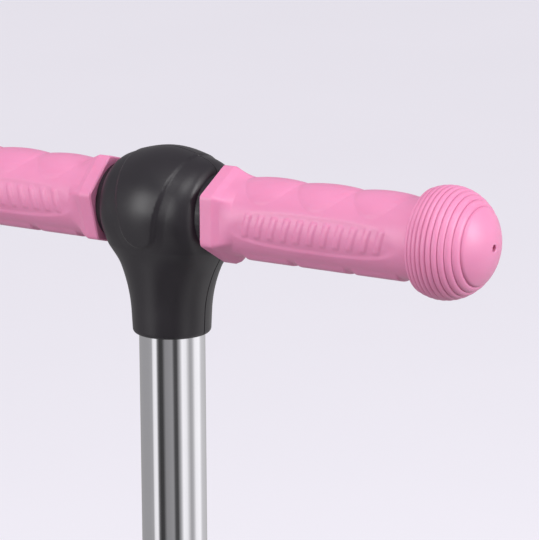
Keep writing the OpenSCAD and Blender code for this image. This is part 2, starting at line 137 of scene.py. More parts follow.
COLUMN_AXIS = joint("bar_height")["axis"]
T_JOINT = place_at(sum(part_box("cross_tube"), Vector()) / 2, COLUMN_AXIS)
COLUMN = T_JOINT @ Matrix.Translation((0, 0, extent("lower_tube", T_JOINT)[0].z))
TRUCK = place_at(joint("lean_steer")["pos_m"], joint("lean_steer")["axis"])
WORLD = Matrix.Scale(MM, 4)


def wheel_place(spin: str, side: Side) -> Matrix:
    """Frame of a wheel, with Z along the axle and away from the scooter's middle."""
    return place_at(joint(spin)["pos_m"], (side.value, 0, 0), (0, 0, 1))


# ------------------------------------------------------------------ shapes


def fillet(corners: Sequence[tuple[float, float, float]], steps: int = 4) -> list[tuple[float, float]]:
    """Rounds the corners of a closed outline with arcs.

    Args:
        corners: each corner as two coordinates and the radius of its rounding.
        steps: pieces that each arc has.

    Returns:
        The outline's points.
    """
    points = []
    for i, (a, b, radius) in enumerate(corners):
        here = Vector((a, b))
        before = Vector(corners[i - 1][:2]) - here
        after = Vector(corners[(i + 1) % len(corners)][:2]) - here
        if radius == 0:
            points.append((a, b))
            continue
        half = before.angle(after) / 2
        reach = min(radius / math.tan(half), 0.49 * before.length, 0.49 * after.length)
        start, end = here + before.normalized() * reach, here + after.normalized() * reach
        for s in range(steps + 1):
            t = s / steps
            spot = start * (1 - t) ** 2 + here * 2 * t * (1 - t) + end * t ** 2
            points.append((spot.x, spot.y))
    return points


def turned(outline: Outline, turn: Turn = Turn.Z, steps: int = 96,
           closed: bool = True) -> bmesh.types.BMesh:
    """Spins an outline about an axis.

    Args:
        outline: points as distance along the axis and radius.
        turn: the axis.
        steps: columns round the axis.
        closed: whether the last point joins the first; if not, both ends lie on the axis.

    Returns:
        The closed shape.
    """
    bm = bmesh.new()
    if turn is Turn.X:
        verts = [bm.verts.new((a, 0, r)) for a, r in outline]
    else:
        verts = [bm.verts.new((r, 0, a)) for a, r in outline]
    loop = verts + verts[:1] if closed else verts
    edges = [bm.edges.new(pair) for pair in zip(loop, loop[1:])]
    bmesh.ops.spin(bm, geom=verts + edges, cent=(0, 0, 0), axis=turn.value, dvec=(0, 0, 0),
                   angle=FULL_TURN, steps=steps, use_merge=True, use_duplicate=False)
    bmesh.ops.remove_doubles(bm, verts=bm.verts, dist=1e-4)
    bmesh.ops.recalc_face_normals(bm, faces=bm.faces)
    return bm


def rod(radius: float, low: float, high: float, turn: Turn = Turn.Z, steps: int = 64) -> bmesh.types.BMesh:
    """A plain cylinder, which serves as a cutter."""
    return turned([(low, 0), (low, radius), (high, radius), (high, 0)], turn, steps, closed=False)


def block(low: Sequence[float], high: Sequence[float]) -> bmesh.types.BMesh:
    """A plain box, which serves as a cutter.

    Args:
        low: its lowest corner.
        high: its highest corner.

    Returns:
        The box.
    """
    bm = bmesh.new()
    bmesh.ops.create_cube(bm, size=1)
    bmesh.ops.scale(bm, vec=[h - l for l, h in zip(low, high)], verts=bm.verts)
    bmesh.ops.translate(bm, vec=[(l + h) / 2 for l, h in zip(low, high)], verts=bm.verts)
    return bm


def moved(bm: bmesh.types.BMesh, matrix: Matrix) -> bmesh.types.BMesh:
    """Moves a shape, and keeps its faces outwards where the move mirrors it.

    Args:
        bm: the shape, which is changed in place.
        matrix: where it goes.

    Returns:
        The same shape.
    """
    bmesh.ops.transform(bm, matrix=matrix, verts=bm.verts)
    if matrix.determinant() < 0:
        bmesh.ops.reverse_faces(bm, faces=bm.faces)
    return bm


def joined(shapes: Iterable[bmesh.types.BMesh]) -> bmesh.types.BMesh:
    """Puts several shapes into one.

    Args:
        shapes: the shapes, which are freed.

    Returns:
        One shape with all their faces.
    """
    whole = bmesh.new()
    for shape in shapes:
        part = bpy.data.meshes.new("part")
        shape.to_mesh(part)
        whole.from_mesh(part)
        shape.free()
        bpy.data.meshes.remove(part)
    return whole


def shape_object(bm: bmesh.types.BMesh, name: str) -> bpy.types.Object:
    """Turns a shape into an object in the scene.

    Args:
        bm: the shape, which is freed.
        name: name of the mesh and of the object.

    Returns:
        The object.
    """
    mesh = bpy.data.meshes.new(name)
    bm.to_mesh(mesh)
    bm.free()
    made = bpy.data.objects.new(name, mesh)
    bpy.context.scene.collection.objects.link(made)
    return made


def through_modifiers(bm: bmesh.types.BMesh, dress: Callable[[bpy.types.Object], None]) -> bmesh.types.BMesh:
    """Runs a shape through modifiers and takes what comes out.

    Args:
        bm: the shape, which is freed.
        dress: function that adds the modifiers to the shape's object.

    Returns:
        The new shape.
    """
    carrier = shape_object(bm, "carrier")
    dress(carrier)
    graph = bpy.context.evaluated_depsgraph_get()
    result = bpy.data.meshes.new_from_object(carrier.evaluated_get(graph))
    out = bmesh.new()
    out.from_mesh(result)
    bpy.data.meshes.remove(result)
    bpy.data.meshes.remove(carrier.data)
    return out


def combined(bm: bmesh.types.BMesh, others: Sequence[bmesh.types.BMesh],
             operation: str = "DIFFERENCE") -> bmesh.types.BMesh:
    """Cuts other shapes out of a shape, or unites them with it.

    Args:
        bm: the shape that is worked on, which is freed.
        others: the shapes that cut it or join it, which are freed.
        operation: the Boolean, DIFFERENCE or UNION.

    Returns:
        The new shape.
    """
    tools = [shape_object(other, "tool") for other in others]

    def dress(carrier: bpy.types.Object) -> None:
        """Adds one exact Boolean for each tool.

        Args:
            carrier: the object that carries the shape.
        """
        for tool in tools:
            cut = carrier.modifiers.new("cut", "BOOLEAN")
            cut.operation, cut.solver, cut.object = operation, "EXACT", tool

    out = through_modifiers(bm, dress)
    for tool in tools:
        bpy.data.meshes.remove(tool.data)
    return out


def fused(shapes: Iterable[bmesh.types.BMesh], voxel: float, smooth: int = 0) -> bmesh.types.BMesh:
    """Melts overlapping shapes into one even skin.

    Args:
        shapes: closed shapes that overlap.
        voxel: size of the skin's faces.
        smooth: rounds of smoothing, which fillets the corners.

    Returns:
        The skin.
    """
    def dress(carrier: bpy.types.Object) -> None:
        """Adds the remesh and the smoothing.

        Args:
            carrier: the object that carries the shape.
        """
        remesh = carrier.modifiers.new("skin", "REMESH")
        remesh.mode, remesh.voxel_size = "VOXEL", voxel
        if smooth:
            soften = carrier.modifiers.new("soften", "SMOOTH")
            soften.factor, soften.iterations = 0.5, smooth

    return through_modifiers(joined(shapes), dress)


def lofted(rings: Sequence[Sequence[Sequence[float]]]) -> bmesh.types.BMesh:
    """Skins a row of rings, and closes both ends.

    Args:
        rings: closed rings in order, each with the same number of corners.

    Returns:
        The closed shape.
    """
    bm = bmesh.new()
    loops = []
    for ring in rings:
        verts = [bm.verts.new(spot) for spot in ring]
        loops.append([bm.edges.new((verts[i - 1], vert)) for i, vert in enumerate(verts)])
    for loop, following in zip(loops, loops[1:]):
        bmesh.ops.bridge_loops(bm, edges=loop + following)
    bmesh.ops.holes_fill(bm, edges=[e for e in bm.edges if e.is_boundary], sides=0)
    bmesh.ops.recalc_face_normals(bm, faces=bm.faces)
    return bm


def plate(outline: Outline, low: float, high: float, edge: float = 0.0) -> bmesh.types.BMesh:
    """Extrudes an outline of (y, z) along X.

    Args:
        outline: the plate's outline.
        low: X of one side.
        high: X of the other side.
        edge: radius of the rims.

    Returns:
        The plate.
    """
    bm = lofted([[(x, a, b) for a, b in outline] for x in (low, high)])
    if edge:
        rims = [e for e in bm.edges if abs(e.verts[0].co.x - e.verts[1].co.x) < 1e-6]
        bmesh.ops.bevel(bm, geom=rims, offset=edge, offset_type="OFFSET", segments=3, profile=0.5,
                        affect="EDGES", clamp_overlap=True, material=-1)
    return bm


def wrapped(shapes: Iterable[bmesh.types.BMesh]) -> bmesh.types.BMesh:
    """Tightest convex skin round several shapes.

    Args:
        shapes: the shapes, which are freed.

    Returns:
        The skin.
    """
    inner = joined(shapes)
    bm = bmesh.new()
    for vert in inner.verts:
        bm.verts.new(vert.co)
    inner.free()
    bmesh.ops.convex_hull(bm, input=bm.verts[:])
    bmesh.ops.delete(bm, geom=[v for v in bm.verts if not v.link_faces], context="VERTS")
    bmesh.ops.recalc_face_normals(bm, faces=bm.faces)
    return bm


def cad_copy(node: str, place: Matrix) -> bmesh.types.BMesh:
    """Copies a CAD node's mesh, with its corners merged and its flats whole.

    Args:
        node: the CAD node.
        place: frame that the copy is wanted in.

    Returns:
        The copy, in millimetres.
    """
    bm = bmesh.new()
    bm.from_mesh(frame["nodes"][node].data)
    bmesh.ops.transform(bm, matrix=place.inverted(), verts=bm.verts)
    bmesh.ops.remove_doubles(bm, verts=bm.verts, dist=1e-3)
    bmesh.ops.dissolve_limit(bm, angle_limit=math.radians(0.5), use_dissolve_boundaries=False,
                             verts=bm.verts, edges=bm.edges)
    return bm


def spots(bm: bmesh.types.BMesh) -> np.ndarray:
    """Places of a shape's corners as an array of rows."""
    return np.array([v.co for v in bm.verts])


def set_spots(bm: bmesh.types.BMesh, where: np.ndarray) -> None:
    """Moves a shape's corners to new places."""
    for vert, spot in zip(bm.verts, where):
        vert.co = spot


def ease(t: np.ndarray | float) -> np.ndarray | float:
    """Smooth step from 0 to 1 while t goes from 0 to 1."""
    c = np.clip(t, 0.0, 1.0)
    return c * c * (3 - 2 * c)


def rounding(radius: float, off: np.ndarray | float) -> np.ndarray | float:
    """How far a rounded corner lies inside the square one, at a distance from its end."""
    return radius - np.sqrt(radius ** 2 - np.maximum(0.0, radius - off) ** 2)


# ------------------------------------------------------------------ finishes


def linear(hex_colour: str, alpha: float = 1.0) -> tuple[float, float, float, float]:
    """Turns an sRGB hex colour, such as "F096C3", into a linear one.

    Args:
        hex_colour: six hex digits.
        alpha: opacity.

    Returns:
        Red, green, blue and alpha.
    """
    channels = [int(hex_colour[i:i + 2], 16) / 255 for i in (0, 2, 4)]
    r, g, b = (c / 12.92 if c <= 0.04045 else ((c + 0.055) / 1.055) ** 2.4 for c in channels)
    return r, g, b, alpha


def per_mm(size: float) -> float:
    """Scale of a texture whose features are a given size in millimetres."""
    return 1 / (size * MM)


def add_node(tree: bpy.types.NodeTree, kind: str, inputs: dict | None = None,
             **settings: object) -> bpy.types.Node:
    """Adds a node with its settings and links.

    Args:
        tree: node tree that takes it.
        kind: Blender's name of the node's type.
        inputs: socket's name or number, and the value or the output socket that feeds it.
        settings: the node's own properties.

    Returns:
        The node.
    """
    node = tree.nodes.new(kind)
    for key, value in settings.items():
        setattr(node, key, value)
    for key, value in (inputs or {}).items():
        if isinstance(value, bpy.types.NodeSocket):
            tree.links.new(value, node.inputs[key])
        else:
            node.inputs[key].default_value = value
    return node


@dataclass(frozen=True)
class Finish:
    """What every finish has: a mottled colour, an uneven gloss, and a relief of its own kind."""

    name: str
    slot: str
    colour: str
    shade: str
    roughness: float
    gloss_spread: float = 0.05
    mottle_mm: float = 18.0
    grain_mm: float = 0.5
    grain_depth_mm: float = 0.01
    metallic: float = 0.0
    ior: float = 1.5
    coat: float = 0.0
    translucence: float = 0.0
    glow: float = 0.0

    def relief(self, tree: bpy.types.NodeTree, where: bpy.types.NodeSocket) -> bpy.types.NodeSocket:
        """Height of the surface's grain, which each kind of finish makes its own way.

        Args:
            tree: the material's nodes.
            where: place on the surface.

        Returns:
            The socket that carries the height.
        """
        grain = add_node(tree, "ShaderNodeTexNoise", {
            "Vector": where, "Scale": per_mm(self.grain_mm), "Detail": 2.0, "Roughness": 0.6})
        return grain.outputs["Fac"]

    def material(self) -> bpy.types.Material:
        """Makes the finish's material the first time, and finds it after that.

        Returns:
            The material.
        """
        found = bpy.data.materials.get(self.name)
        if found:
            return found
        made = bpy.data.materials.new(self.name)
        made.use_nodes = True
        tree = made.node_tree
        tree.nodes.clear()
        where = add_node(tree, "ShaderNodeTexCoord").outputs["Object"]
        mottle = add_node(tree, "ShaderNodeTexNoise", {
            "Vector": where, "Scale": per_mm(self.mottle_mm), "Detail": 4.0, "Roughness": 0.55})
        tint = add_node(tree, "ShaderNodeMix", {
            0: mottle.outputs["Fac"], 6: linear(self.shade), 7: linear(self.colour)}, data_type="RGBA")
        gloss = add_node(tree, "ShaderNodeMapRange", {
            "Value": mottle.outputs["Fac"], "From Min": 0.3, "From Max": 0.7,
            "To Min": self.roughness - self.gloss_spread, "To Max": self.roughness + self.gloss_spread})
        bump = add_node(tree, "ShaderNodeBump", {
            "Height": self.relief(tree, where), "Distance": self.grain_depth_mm * MM})
        shader = add_node(tree, "ShaderNodeBsdfPrincipled", {
            "Base Color": tint.outputs[2], "Roughness": gloss.outputs["Result"], "Metallic": self.metallic,
            "Normal": bump.outputs["Normal"], "Coat Weight": self.coat, "Coat Roughness": 0.25})
        if not self.metallic:
            shader.inputs["IOR"].default_value = self.ior
        if self.glow:
            shader.inputs["Emission Color"].default_value = linear(self.colour)
            shader.inputs["Emission Strength"].default_value = self.glow
        if self.translucence:
            shader.inputs["Subsurface Weight"].default_value = self.translucence
            shader.inputs["Subsurface Radius"].default_value = (1.0, 0.45, 0.5)
            shader.inputs["Subsurface Scale"].default_value = 2.5 * MM
        add_node(tree, "ShaderNodeOutputMaterial", {"Surface": shader.outputs["BSDF"]})
        return made


@dataclass(frozen=True)
class Moulded(Finish):
    """Moulded against a spark-eroded tool: a fine even orange-peel over a slow sink and swell."""

    sink_mm: float = 9.0

    def relief(self, tree: bpy.types.NodeTree, where: bpy.types.NodeSocket) -> bpy.types.NodeSocket:
        """Adds the slow waves of shrinkage to the tool's grain.

        Args:
            tree: the material's nodes.
            where: place on the surface.

        Returns:
            The socket that carries the height.
        """
        grain = add_node(tree, "ShaderNodeTexNoise", {
            "Vector": where, "Scale": per_mm(self.grain_mm), "Detail": 2.0, "Roughness": 0.65})
        sink = add_node(tree, "ShaderNodeTexNoise", {
            "Vector": where, "Scale": per_mm(self.sink_mm), "Detail": 1.0})
        return add_node(tree, "ShaderNodeMath", {
            0: sink.outputs["Fac"], 1: 3.0, 2: grain.outputs["Fac"]}, operation="MULTIPLY_ADD").outputs[0]


@dataclass(frozen=True)
class Drawn(Finish):
    """Drawn or turned metal: fine lines along one direction."""

    stretch: tuple[float, float, float] = (1.0, 1.0, 0.02)
    lean: float = 0.0

    def relief(self, tree: bpy.types.NodeTree, where: bpy.types.NodeSocket) -> bpy.types.NodeSocket:
        """Stretches the grain along the direction of drawing.

        Args:
            tree: the material's nodes.
            where: place on the surface.

        Returns:
            The socket that carries the height.
        """
        turn = add_node(tree, "ShaderNodeMapping", {"Vector": where, "Rotation": (self.lean, 0, 0)})
        along = add_node(tree, "ShaderNodeMapping", {"Vector": turn.outputs[0], "Scale": self.stretch})
        lines = add_node(tree, "ShaderNodeTexNoise", {
            "Vector": along.outputs[0], "Scale": per_mm(self.grain_mm), "Detail": 3.0})
        return lines.outputs["Fac"]


@dataclass(frozen=True)
class Blasted(Finish):
    """Cast and shot-blasted: shallow round pits packed side by side."""

    def relief(self, tree: bpy.types.NodeTree, where: bpy.types.NodeSocket) -> bpy.types.NodeSocket:
        """Uses the distance to scattered points as the pits.

        Args:
            tree: the material's nodes.
            where: place on the surface.

        Returns:
            The socket that carries the height.
        """
        pits = add_node(tree, "ShaderNodeTexVoronoi", {
            "Vector": where, "Scale": per_mm(self.grain_mm)}, feature="SMOOTH_F1")
        return pits.outputs["Distance"]


RAKE = math.atan2(COLUMN_AXIS[1], COLUMN_AXIS[2])
REAR_AXLE = tuple(c / MM for c in joint("rear_wheel_spin")["pos_m"][1:])
BRAKE_PIN = tuple(c / MM for c in joint("brake_press")["pos_m"][1:])
COWL_SCREWS = ((26, -159), (-26, -159), (26, -121), (-26, -121))

# Soft thermoplastic rubber: a milky pink with light bleeding round its edges and a broad dull shine
GRIP_RUBBER = Moulded("moulded_thermoplastic_rubber", "grip_rubber", "CF80A6", "C7769C", 0.43,
                      grain_mm=0.45, grain_depth_mm=0.012, ior=1.5, translucence=0.25)
# Glass-filled nylon off a finely eroded tool: near black with a satin sheen. A real tool's grain is finer
SATIN_NYLON = Moulded("satin_black_nylon", "black_plastic", "211D23", "1A171C", 0.41,
                      grain_mm=0.4, grain_depth_mm=0.006, ior=1.45)
# Decorative chromium over polished steel: a mirror with the faintest polishing lines, drawn coarser than real
CHROME = Drawn("polished_chromium_plate", "chromed_tube", "DADADD", "D2D2D6", 0.075, gloss_spread=0.02,
               metallic=1.0, grain_mm=0.35, grain_depth_mm=0.0002, lean=RAKE)
# Drawn aluminium, brushed and clear anodised: pale grey with a long streak of light down each side.
# Its brushing lines are drawn coarser than real, so that they still show from a metre away
ANODISED = Drawn("brushed_anodised_aluminium", "anodised_tube", "C4C5C9", "B4B6BB", 0.32, gloss_spread=0.06,
                 metallic=1.0, grain_mm=0.4, grain_depth_mm=0.003, lean=RAKE)
# Cold-drawn steel tube, oiled and unplated, hidden in the grips
STEEL_TUBE = Drawn("cold_drawn_steel", "steel_tube", "9C9CA0", "86868B", 0.34, metallic=1.0,
                   stretch=(0.02, 1.0, 1.0), grain_mm=0.4, grain_depth_mm=0.003)
# Bright zinc plate on headed screws: a soft grey shine with a hint of blue
ZINC_SCREW = Drawn("bright_zinc_plated_steel", "fastener_steel", "B9BDC4", "9DA3AD", 0.3, metallic=1.0,
                   mottle_mm=4.0, stretch=(1.0, 1.0, 0.2), grain_mm=0.3, grain_depth_mm=0.003)
# Thick zinc on pressed and machined plates: duller, with patches from the bath
ZINC_PLATE = Blasted("barrel_zinc_plated_steel", "plated_steel", "A9ACB2", "8B9098", 0.42, metallic=1.0,
                     mottle_mm=6.0, grain_mm=0.6, grain_depth_mm=0.006)
# Oil-tempered spring wire: dark, smooth and slightly brown
SPRING_WIRE = Drawn("oil_tempered_spring_wire", "spring_steel", "6A6766", "55524F", 0.33, metallic=1.0,
                    grain_mm=0.3, grain_depth_mm=0.002)
# Ground bearing steel: bright rings with fine turning lines
BEARING_STEEL = Drawn("ground_bearing_steel", "bearing_steel", "C9CACC", "B5B6B9", 0.2, metallic=1.0,
                      stretch=(0.05, 1.0, 1.0), grain_mm=0.25, grain_depth_mm=0.002)
# Die-cast aluminium, shot-blasted: an even pale grey without any clear reflection
CAST_ALUMINIUM = Blasted("shot_blasted_cast_aluminium", "cast_beam", "ADAFB3", "9A9CA1", 0.48, metallic=1.0,
                         grain_mm=0.55, grain_depth_mm=0.02)
# Cast polyurethane bush: translucent pink with a wet-looking skin
BUSH_URETHANE = Moulded("cast_polyurethane_bush", "bush_rubber", "EE7FB4", "E56FA6", 0.35,
                        grain_mm=0.8, grain_depth_mm=0.01, translucence=0.4)
# Cast polyurethane tyre: milky, light goes into it, and the tread is rubbed dull
TYRE_URETHANE = Moulded("cast_polyurethane_tyre", "wheel_tyre", "F6DDE8", "EFCFDE", 0.38,
                        mottle_mm=11.0, grain_mm=0.7, grain_depth_mm=0.012, translucence=0.5)
# Moulded nylon hub: opaque pink with a satin skin
HUB_NYLON = Moulded("moulded_pink_nylon", "wheel_hub", "E873AC", "DE66A0", 0.4,
                    grain_mm=0.5, grain_depth_mm=0.01)
# Polypropylene deck off a leather-grained tool: pink, evenly dull, with a pebbled touch
DECK_PLASTIC = Moulded("grained_polypropylene", "deck_plastic", "EC7DB2", "E26FA5", 0.5,
                       grain_mm=1.1, grain_depth_mm=0.05, sink_mm=25.0)
# Vulcanised rubber mat: charcoal, dry and fine-grained, slightly dusty
MAT_RUBBER = Moulded("vulcanised_mat_rubber", "mat_rubber", "3B3A3D", "2D2C2F", 0.72,
                     mottle_mm=9.0, grain_mm=0.5, grain_depth_mm=0.03)
# Seamless paper of the studio floor: matt, with a faint glow that stands in for the light behind it
FLOOR_PAPER = Moulded("pale_floor_paper", "", "C9C6CE", "C6C3CB", 0.9,
                      mottle_mm=400.0, grain_mm=3.0, grain_depth_mm=0.02, glow=0.55)


# ------------------------------------------------------------------ pieces


def piece(bm: bmesh.types.BMesh, name: str, place: Matrix, finish: Finish, *nodes: str,
          sharp: float = 35.0) -> bpy.types.Object:
    """Places a shape, dresses it, and hangs it on the body of the nodes that it stands for.

    Args:
        bm: the shape in its sub-assembly's millimetres, which is freed.
        name: the piece's name.
        place: the sub-assembly's frame.
        finish: what it is made of.
        nodes: CAD nodes that the piece stands for.
        sharp: edges that turn by more than this, in degrees, stay sharp.

    Returns:
        The finished piece.
    """
    moved(bm, place)
    for face in bm.faces:
        face.smooth = True
    for edge in bm.edges:
        edge.smooth = len(edge.link_faces) == 2 and edge.calc_face_angle() < math.radians(sharp)
    made = shape_object(bm, name)
    made.data.materials.append(finish.material())
    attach(made, frame["nodes"][nodes[0]]["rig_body"])
    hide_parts(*nodes)
    LOG.info("%s: %d faces, %s", name, len(made.data.polygons), finish.name)
    return made


def refined(node: str, finish: Finish, edge: float = 0.25, place: Matrix = WORLD) -> bpy.types.Object:
    """Stands a CAD part up as a finished one: the same shape, with its corners broken as a maker leaves them.

    Args:
        node: the CAD node.
        finish: what it is made of.
        edge: radius of the broken corners, in millimetres.
        place: frame that the copy is worked in.

    Returns:
        The finished piece.
    """
    made = piece(cad_copy(node, place), node + "_finished", place, finish, node)
    corners = made.modifiers.new("broken corners", "BEVEL")
    corners.width, corners.segments, corners.limit_method = edge * MM, 2, "ANGLE"
    corners.angle_limit, corners.harden_normals, corners.use_clamp_overlap = math.radians(35), True, True
    for edge_line in made.data.edges:
        edge_line.use_edge_sharp = False
    return made


@dataclass
class Grip:
    """A handlebar grip in one piece: six-sided flange, shaped body with a panel, and a ringed ball end."""

    side: Side
    flange_turn: float = 0.0
    flange_r: float = 18.5
    flange_len: float = 5.4
    bevel_len: float = 2.6
    bevel_drop: float = 1.2
    cone_end: float = 37.4
    panel_middle: float = 72.0
    panel_half_x: float = 36.0
    panel_half_z: float = 7.2
    panel_depth: float = 0.45
    rib_pitch: float = 5.6
    rib_slant: float = 0.28
    rib_half: float = 1.05
    rib_top: float = 4.3
    rib_height: float = 0.36
    body_r: float = 14.9
    swell: float = 0.95
    swell_ends: tuple[float, ...] = (37.5, 60.0, 84.0, 106.0)
    ball_a: float = 18.3
    ball_b: float = 20.42
    ball_back: float = -7.4
    ring_depth: float = 0.75
    rings: int = 10
    row: float = 0.45
    columns: int = 168

    def __post_init__(self) -> None:
        """Takes the grip's ends from the CAD."""
        self.node = f"grip_{self.side.word}"
        low, high = extent(self.node, T_JOINT)
        self.inner = low.x if self.side is Side.LEFT else -high.x
        self.tip = high.x if self.side is Side.LEFT else -low.x
        self.bore = extent("cross_tube", T_JOINT)[1].z + 0.05
        self.ball_x = self.tip - self.ball_a
        self.ball_start = self.ball_x + self.ball_back

    def ball_point(self, along: float, sink: float) -> tuple[float, float]:
        """Point of the ball's outline, sunk below the ellipse by a distance.

        Args:
            along: distance from the ball's middle along the bar.
            sink: how far the point is sunk.

        Returns:
            Distance along the bar, and radius.
        """
        radius = self.ball_b * math.sqrt(max(0.0, 1 - (along / self.ball_a) ** 2))
        normal = Vector((along / self.ball_a ** 2, radius / self.ball_b ** 2)).normalized()
        return self.ball_x + along - sink * normal.x, radius - sink * normal.y

    def ball_outline(self) -> list[tuple[float, float]]:
        """Rounded rings with narrow grooves between them, then the smooth cap and its vent.

        Returns:
            Points of the outline, from the body outwards.
        """
        grooves = [self.ball_back - 0.1] + [-5.95 + 1.85 * i + 0.03 * i * (i - 1) for i in range(self.rings)]
        points = []
        for low, high in zip(grooves, grooves[1:]):
            for s in range(8):
                t = -math.cos(math.pi * (s + 0.12) / 8)
                if low + (high - low) * (t + 1) / 2 > self.ball_back:
                    points.append(self.ball_point(low + (high - low) * (t + 1) / 2,
                                                  self.ring_depth * (1 - math.sqrt(1 - min(1, t * t)))))
        start = math.acos(grooves[-1] / self.ball_a)
        vent_r, vent_depth, lip = 1.3, 3.0, 0.9
        for s in range(25):
            along = self.ball_a * math.cos(start * (1 - s / 25))
            near = min(1.0, (along - grooves[-1]) / lip)
            point = self.ball_point(along, self.ring_depth * (1 - math.sqrt(1 - (1 - near) ** 2)))
            if point[1] > vent_r + 0.3:
                points.append(point)
        points += [(self.tip - 0.03, vent_r + 0.3), (self.tip - 0.25, vent_r)]
        return points + [(self.tip - vent_depth, vent_r), (self.tip - vent_depth, 0)]

    def outline(self) -> list[tuple[float, float]]:
        """Whole outline, from the blind end of the bore round to the vent.

        Returns:
            Points as distance along the bar and radius.
        """
        bore_end = self.inner + 100
        flange = [self.inner + 0.5, *np.linspace(self.inner + 1.2, self.inner + self.flange_len, 6)]
        start = self.inner + self.flange_len
        rows = np.arange(start + 0.2, self.ball_start - 0.9, self.row)
        return [
            (bore_end, 0), (bore_end, self.bore), (self.inner, self.bore), (self.inner, self.body_r - 1.0),
            (self.inner, self.flange_r - 0.5), *[(float(x), self.flange_r) for x in flange],
            *[(float(x), self.body_r) for x in rows],
            (self.ball_start - 0.7, self.body_r - 0.5), (self.ball_start, self.body_r - 0.9),
            (self.ball_start, self.body_r + 1), *self.ball_outline(),
        ]

    def hexagon(self, angle: np.ndarray) -> np.ndarray:
        """Radius of the flange's six sides, with its corners slightly rounded.

        Args:
            angle: angle round the bar.

        Returns:
            The radius at each angle.
        """
        power = 44.0
        turns = math.radians(30 + self.flange_turn) + np.arange(6) * math.pi / 3
        reach = np.maximum(0.0, np.cos(angle[:, None] - turns[None, :])) ** power
        flat = reach.sum(1) ** (-1 / power)
        at_corner = (2 * math.cos(math.pi / 6) ** power) ** (-1 / power)
        return self.flange_r * flat / at_corner

    def radius(self, x: np.ndarray, angle: np.ndarray) -> np.ndarray:
        """Radius of the body, with the angle counted from the top towards the front.

        Args:
            x: distance along the bar from the middle of the handlebar.
            angle: angle round the bar.

        Returns:
            The radius at each place.
        """
        under = np.abs(np.abs(angle) - math.pi)
        edge_x = self.inner + self.flange_len
        bevel_x = edge_x + self.bevel_len
        cone_end = self.cone_end - 3.2 * ease((1.1 - under) / 0.5)
        hexed = self.hexagon(angle) - self.bevel_drop * np.clip((x - edge_x) / self.bevel_len, 0, 1)
        fade = np.clip((x - bevel_x) / (cone_end - bevel_x), 0, 1)
        radius = hexed * (1 - fade) + self.body_r * fade
        for low, high in zip(self.swell_ends, self.swell_ends[1:]):
            t = np.clip((x - low) / (high - low), 0, 1)
            arch = np.sin(math.pi * t)
            reach = math.radians(58) * arch ** 0.55 + 1e-6
            over = np.clip(1 - (np.abs(angle) / reach) ** 3, 0, 1)
            radius += self.swell * arch ** 0.75 * over ** 0.8
            pad = np.clip(np.minimum(x - low - 1.2, high - x - 1.2) / 0.8, 0, 1) * (t > 0)
            radius += 0.85 * pad * ease((0.72 - under) / 0.3)
        return radius - self.panel(x, angle)

    def panel(self, x: np.ndarray, angle: np.ndarray) -> np.ndarray:
        """Depth of the oval panel on the front, less the row of slanted ribs that stands in it.

        Args:
            x: distance along the bar from the middle of the handlebar.
            angle: angle round the bar.

        Returns:
            The depth at each place.
        """
        z = self.body_r * (math.pi / 2 - angle)
        across = np.abs(x - self.panel_middle) / self.panel_half_x
        inside = across ** 2.8 + (np.abs(z + 0.5) / self.panel_half_z) ** 2.8
        sharp = 0.3 + 0.3 * ease((z + 2) / 4)
        sunk = self.panel_depth * ease((1 - inside) / sharp)
        along = x - self.panel_middle - self.rib_slant * z
        near = np.abs((along + self.rib_pitch / 2) % self.rib_pitch - self.rib_pitch / 2)
        row = (np.abs(along) < 5.4 * self.rib_pitch) & (np.abs(z) < self.rib_top + 1)
        rib = ease((self.rib_half + 0.45 - near) / 0.6) * ease((self.rib_top + 0.5 - np.abs(z)) / 0.7)
        return sunk - self.rib_height * np.where(row, rib, 0.0)

    def build(self) -> None:
        """Spins the outline, shapes it round the bar, and dresses it."""
        bm = turned(self.outline(), Turn.X, self.columns, closed=False)
        where = spots(bm)
        x, y, z = where.T
        rho = np.hypot(y, z)
        angle = np.arctan2(-y, z)
        shaped = (rho > self.body_r - 0.2) & (x < self.ball_start - 0.75)
        face = shaped & (x < self.inner + 0.3)
        new = np.where(shaped, self.radius(x, angle), rho)
        new = np.where(face, self.hexagon(angle) - 0.5, new)
        scale = np.where(rho > 1e-6, new / np.maximum(rho, 1e-6), 1.0)
        set_spots(bm, np.stack([x, y * scale, z * scale], 1))
        if self.side is Side.RIGHT:
            moved(bm, Matrix.Scale(-1, 4, (1, 0, 0)))
        piece(bm, f"{self.side.word}_grip", T_JOINT, GRIP_RUBBER, self.node, sharp=42)


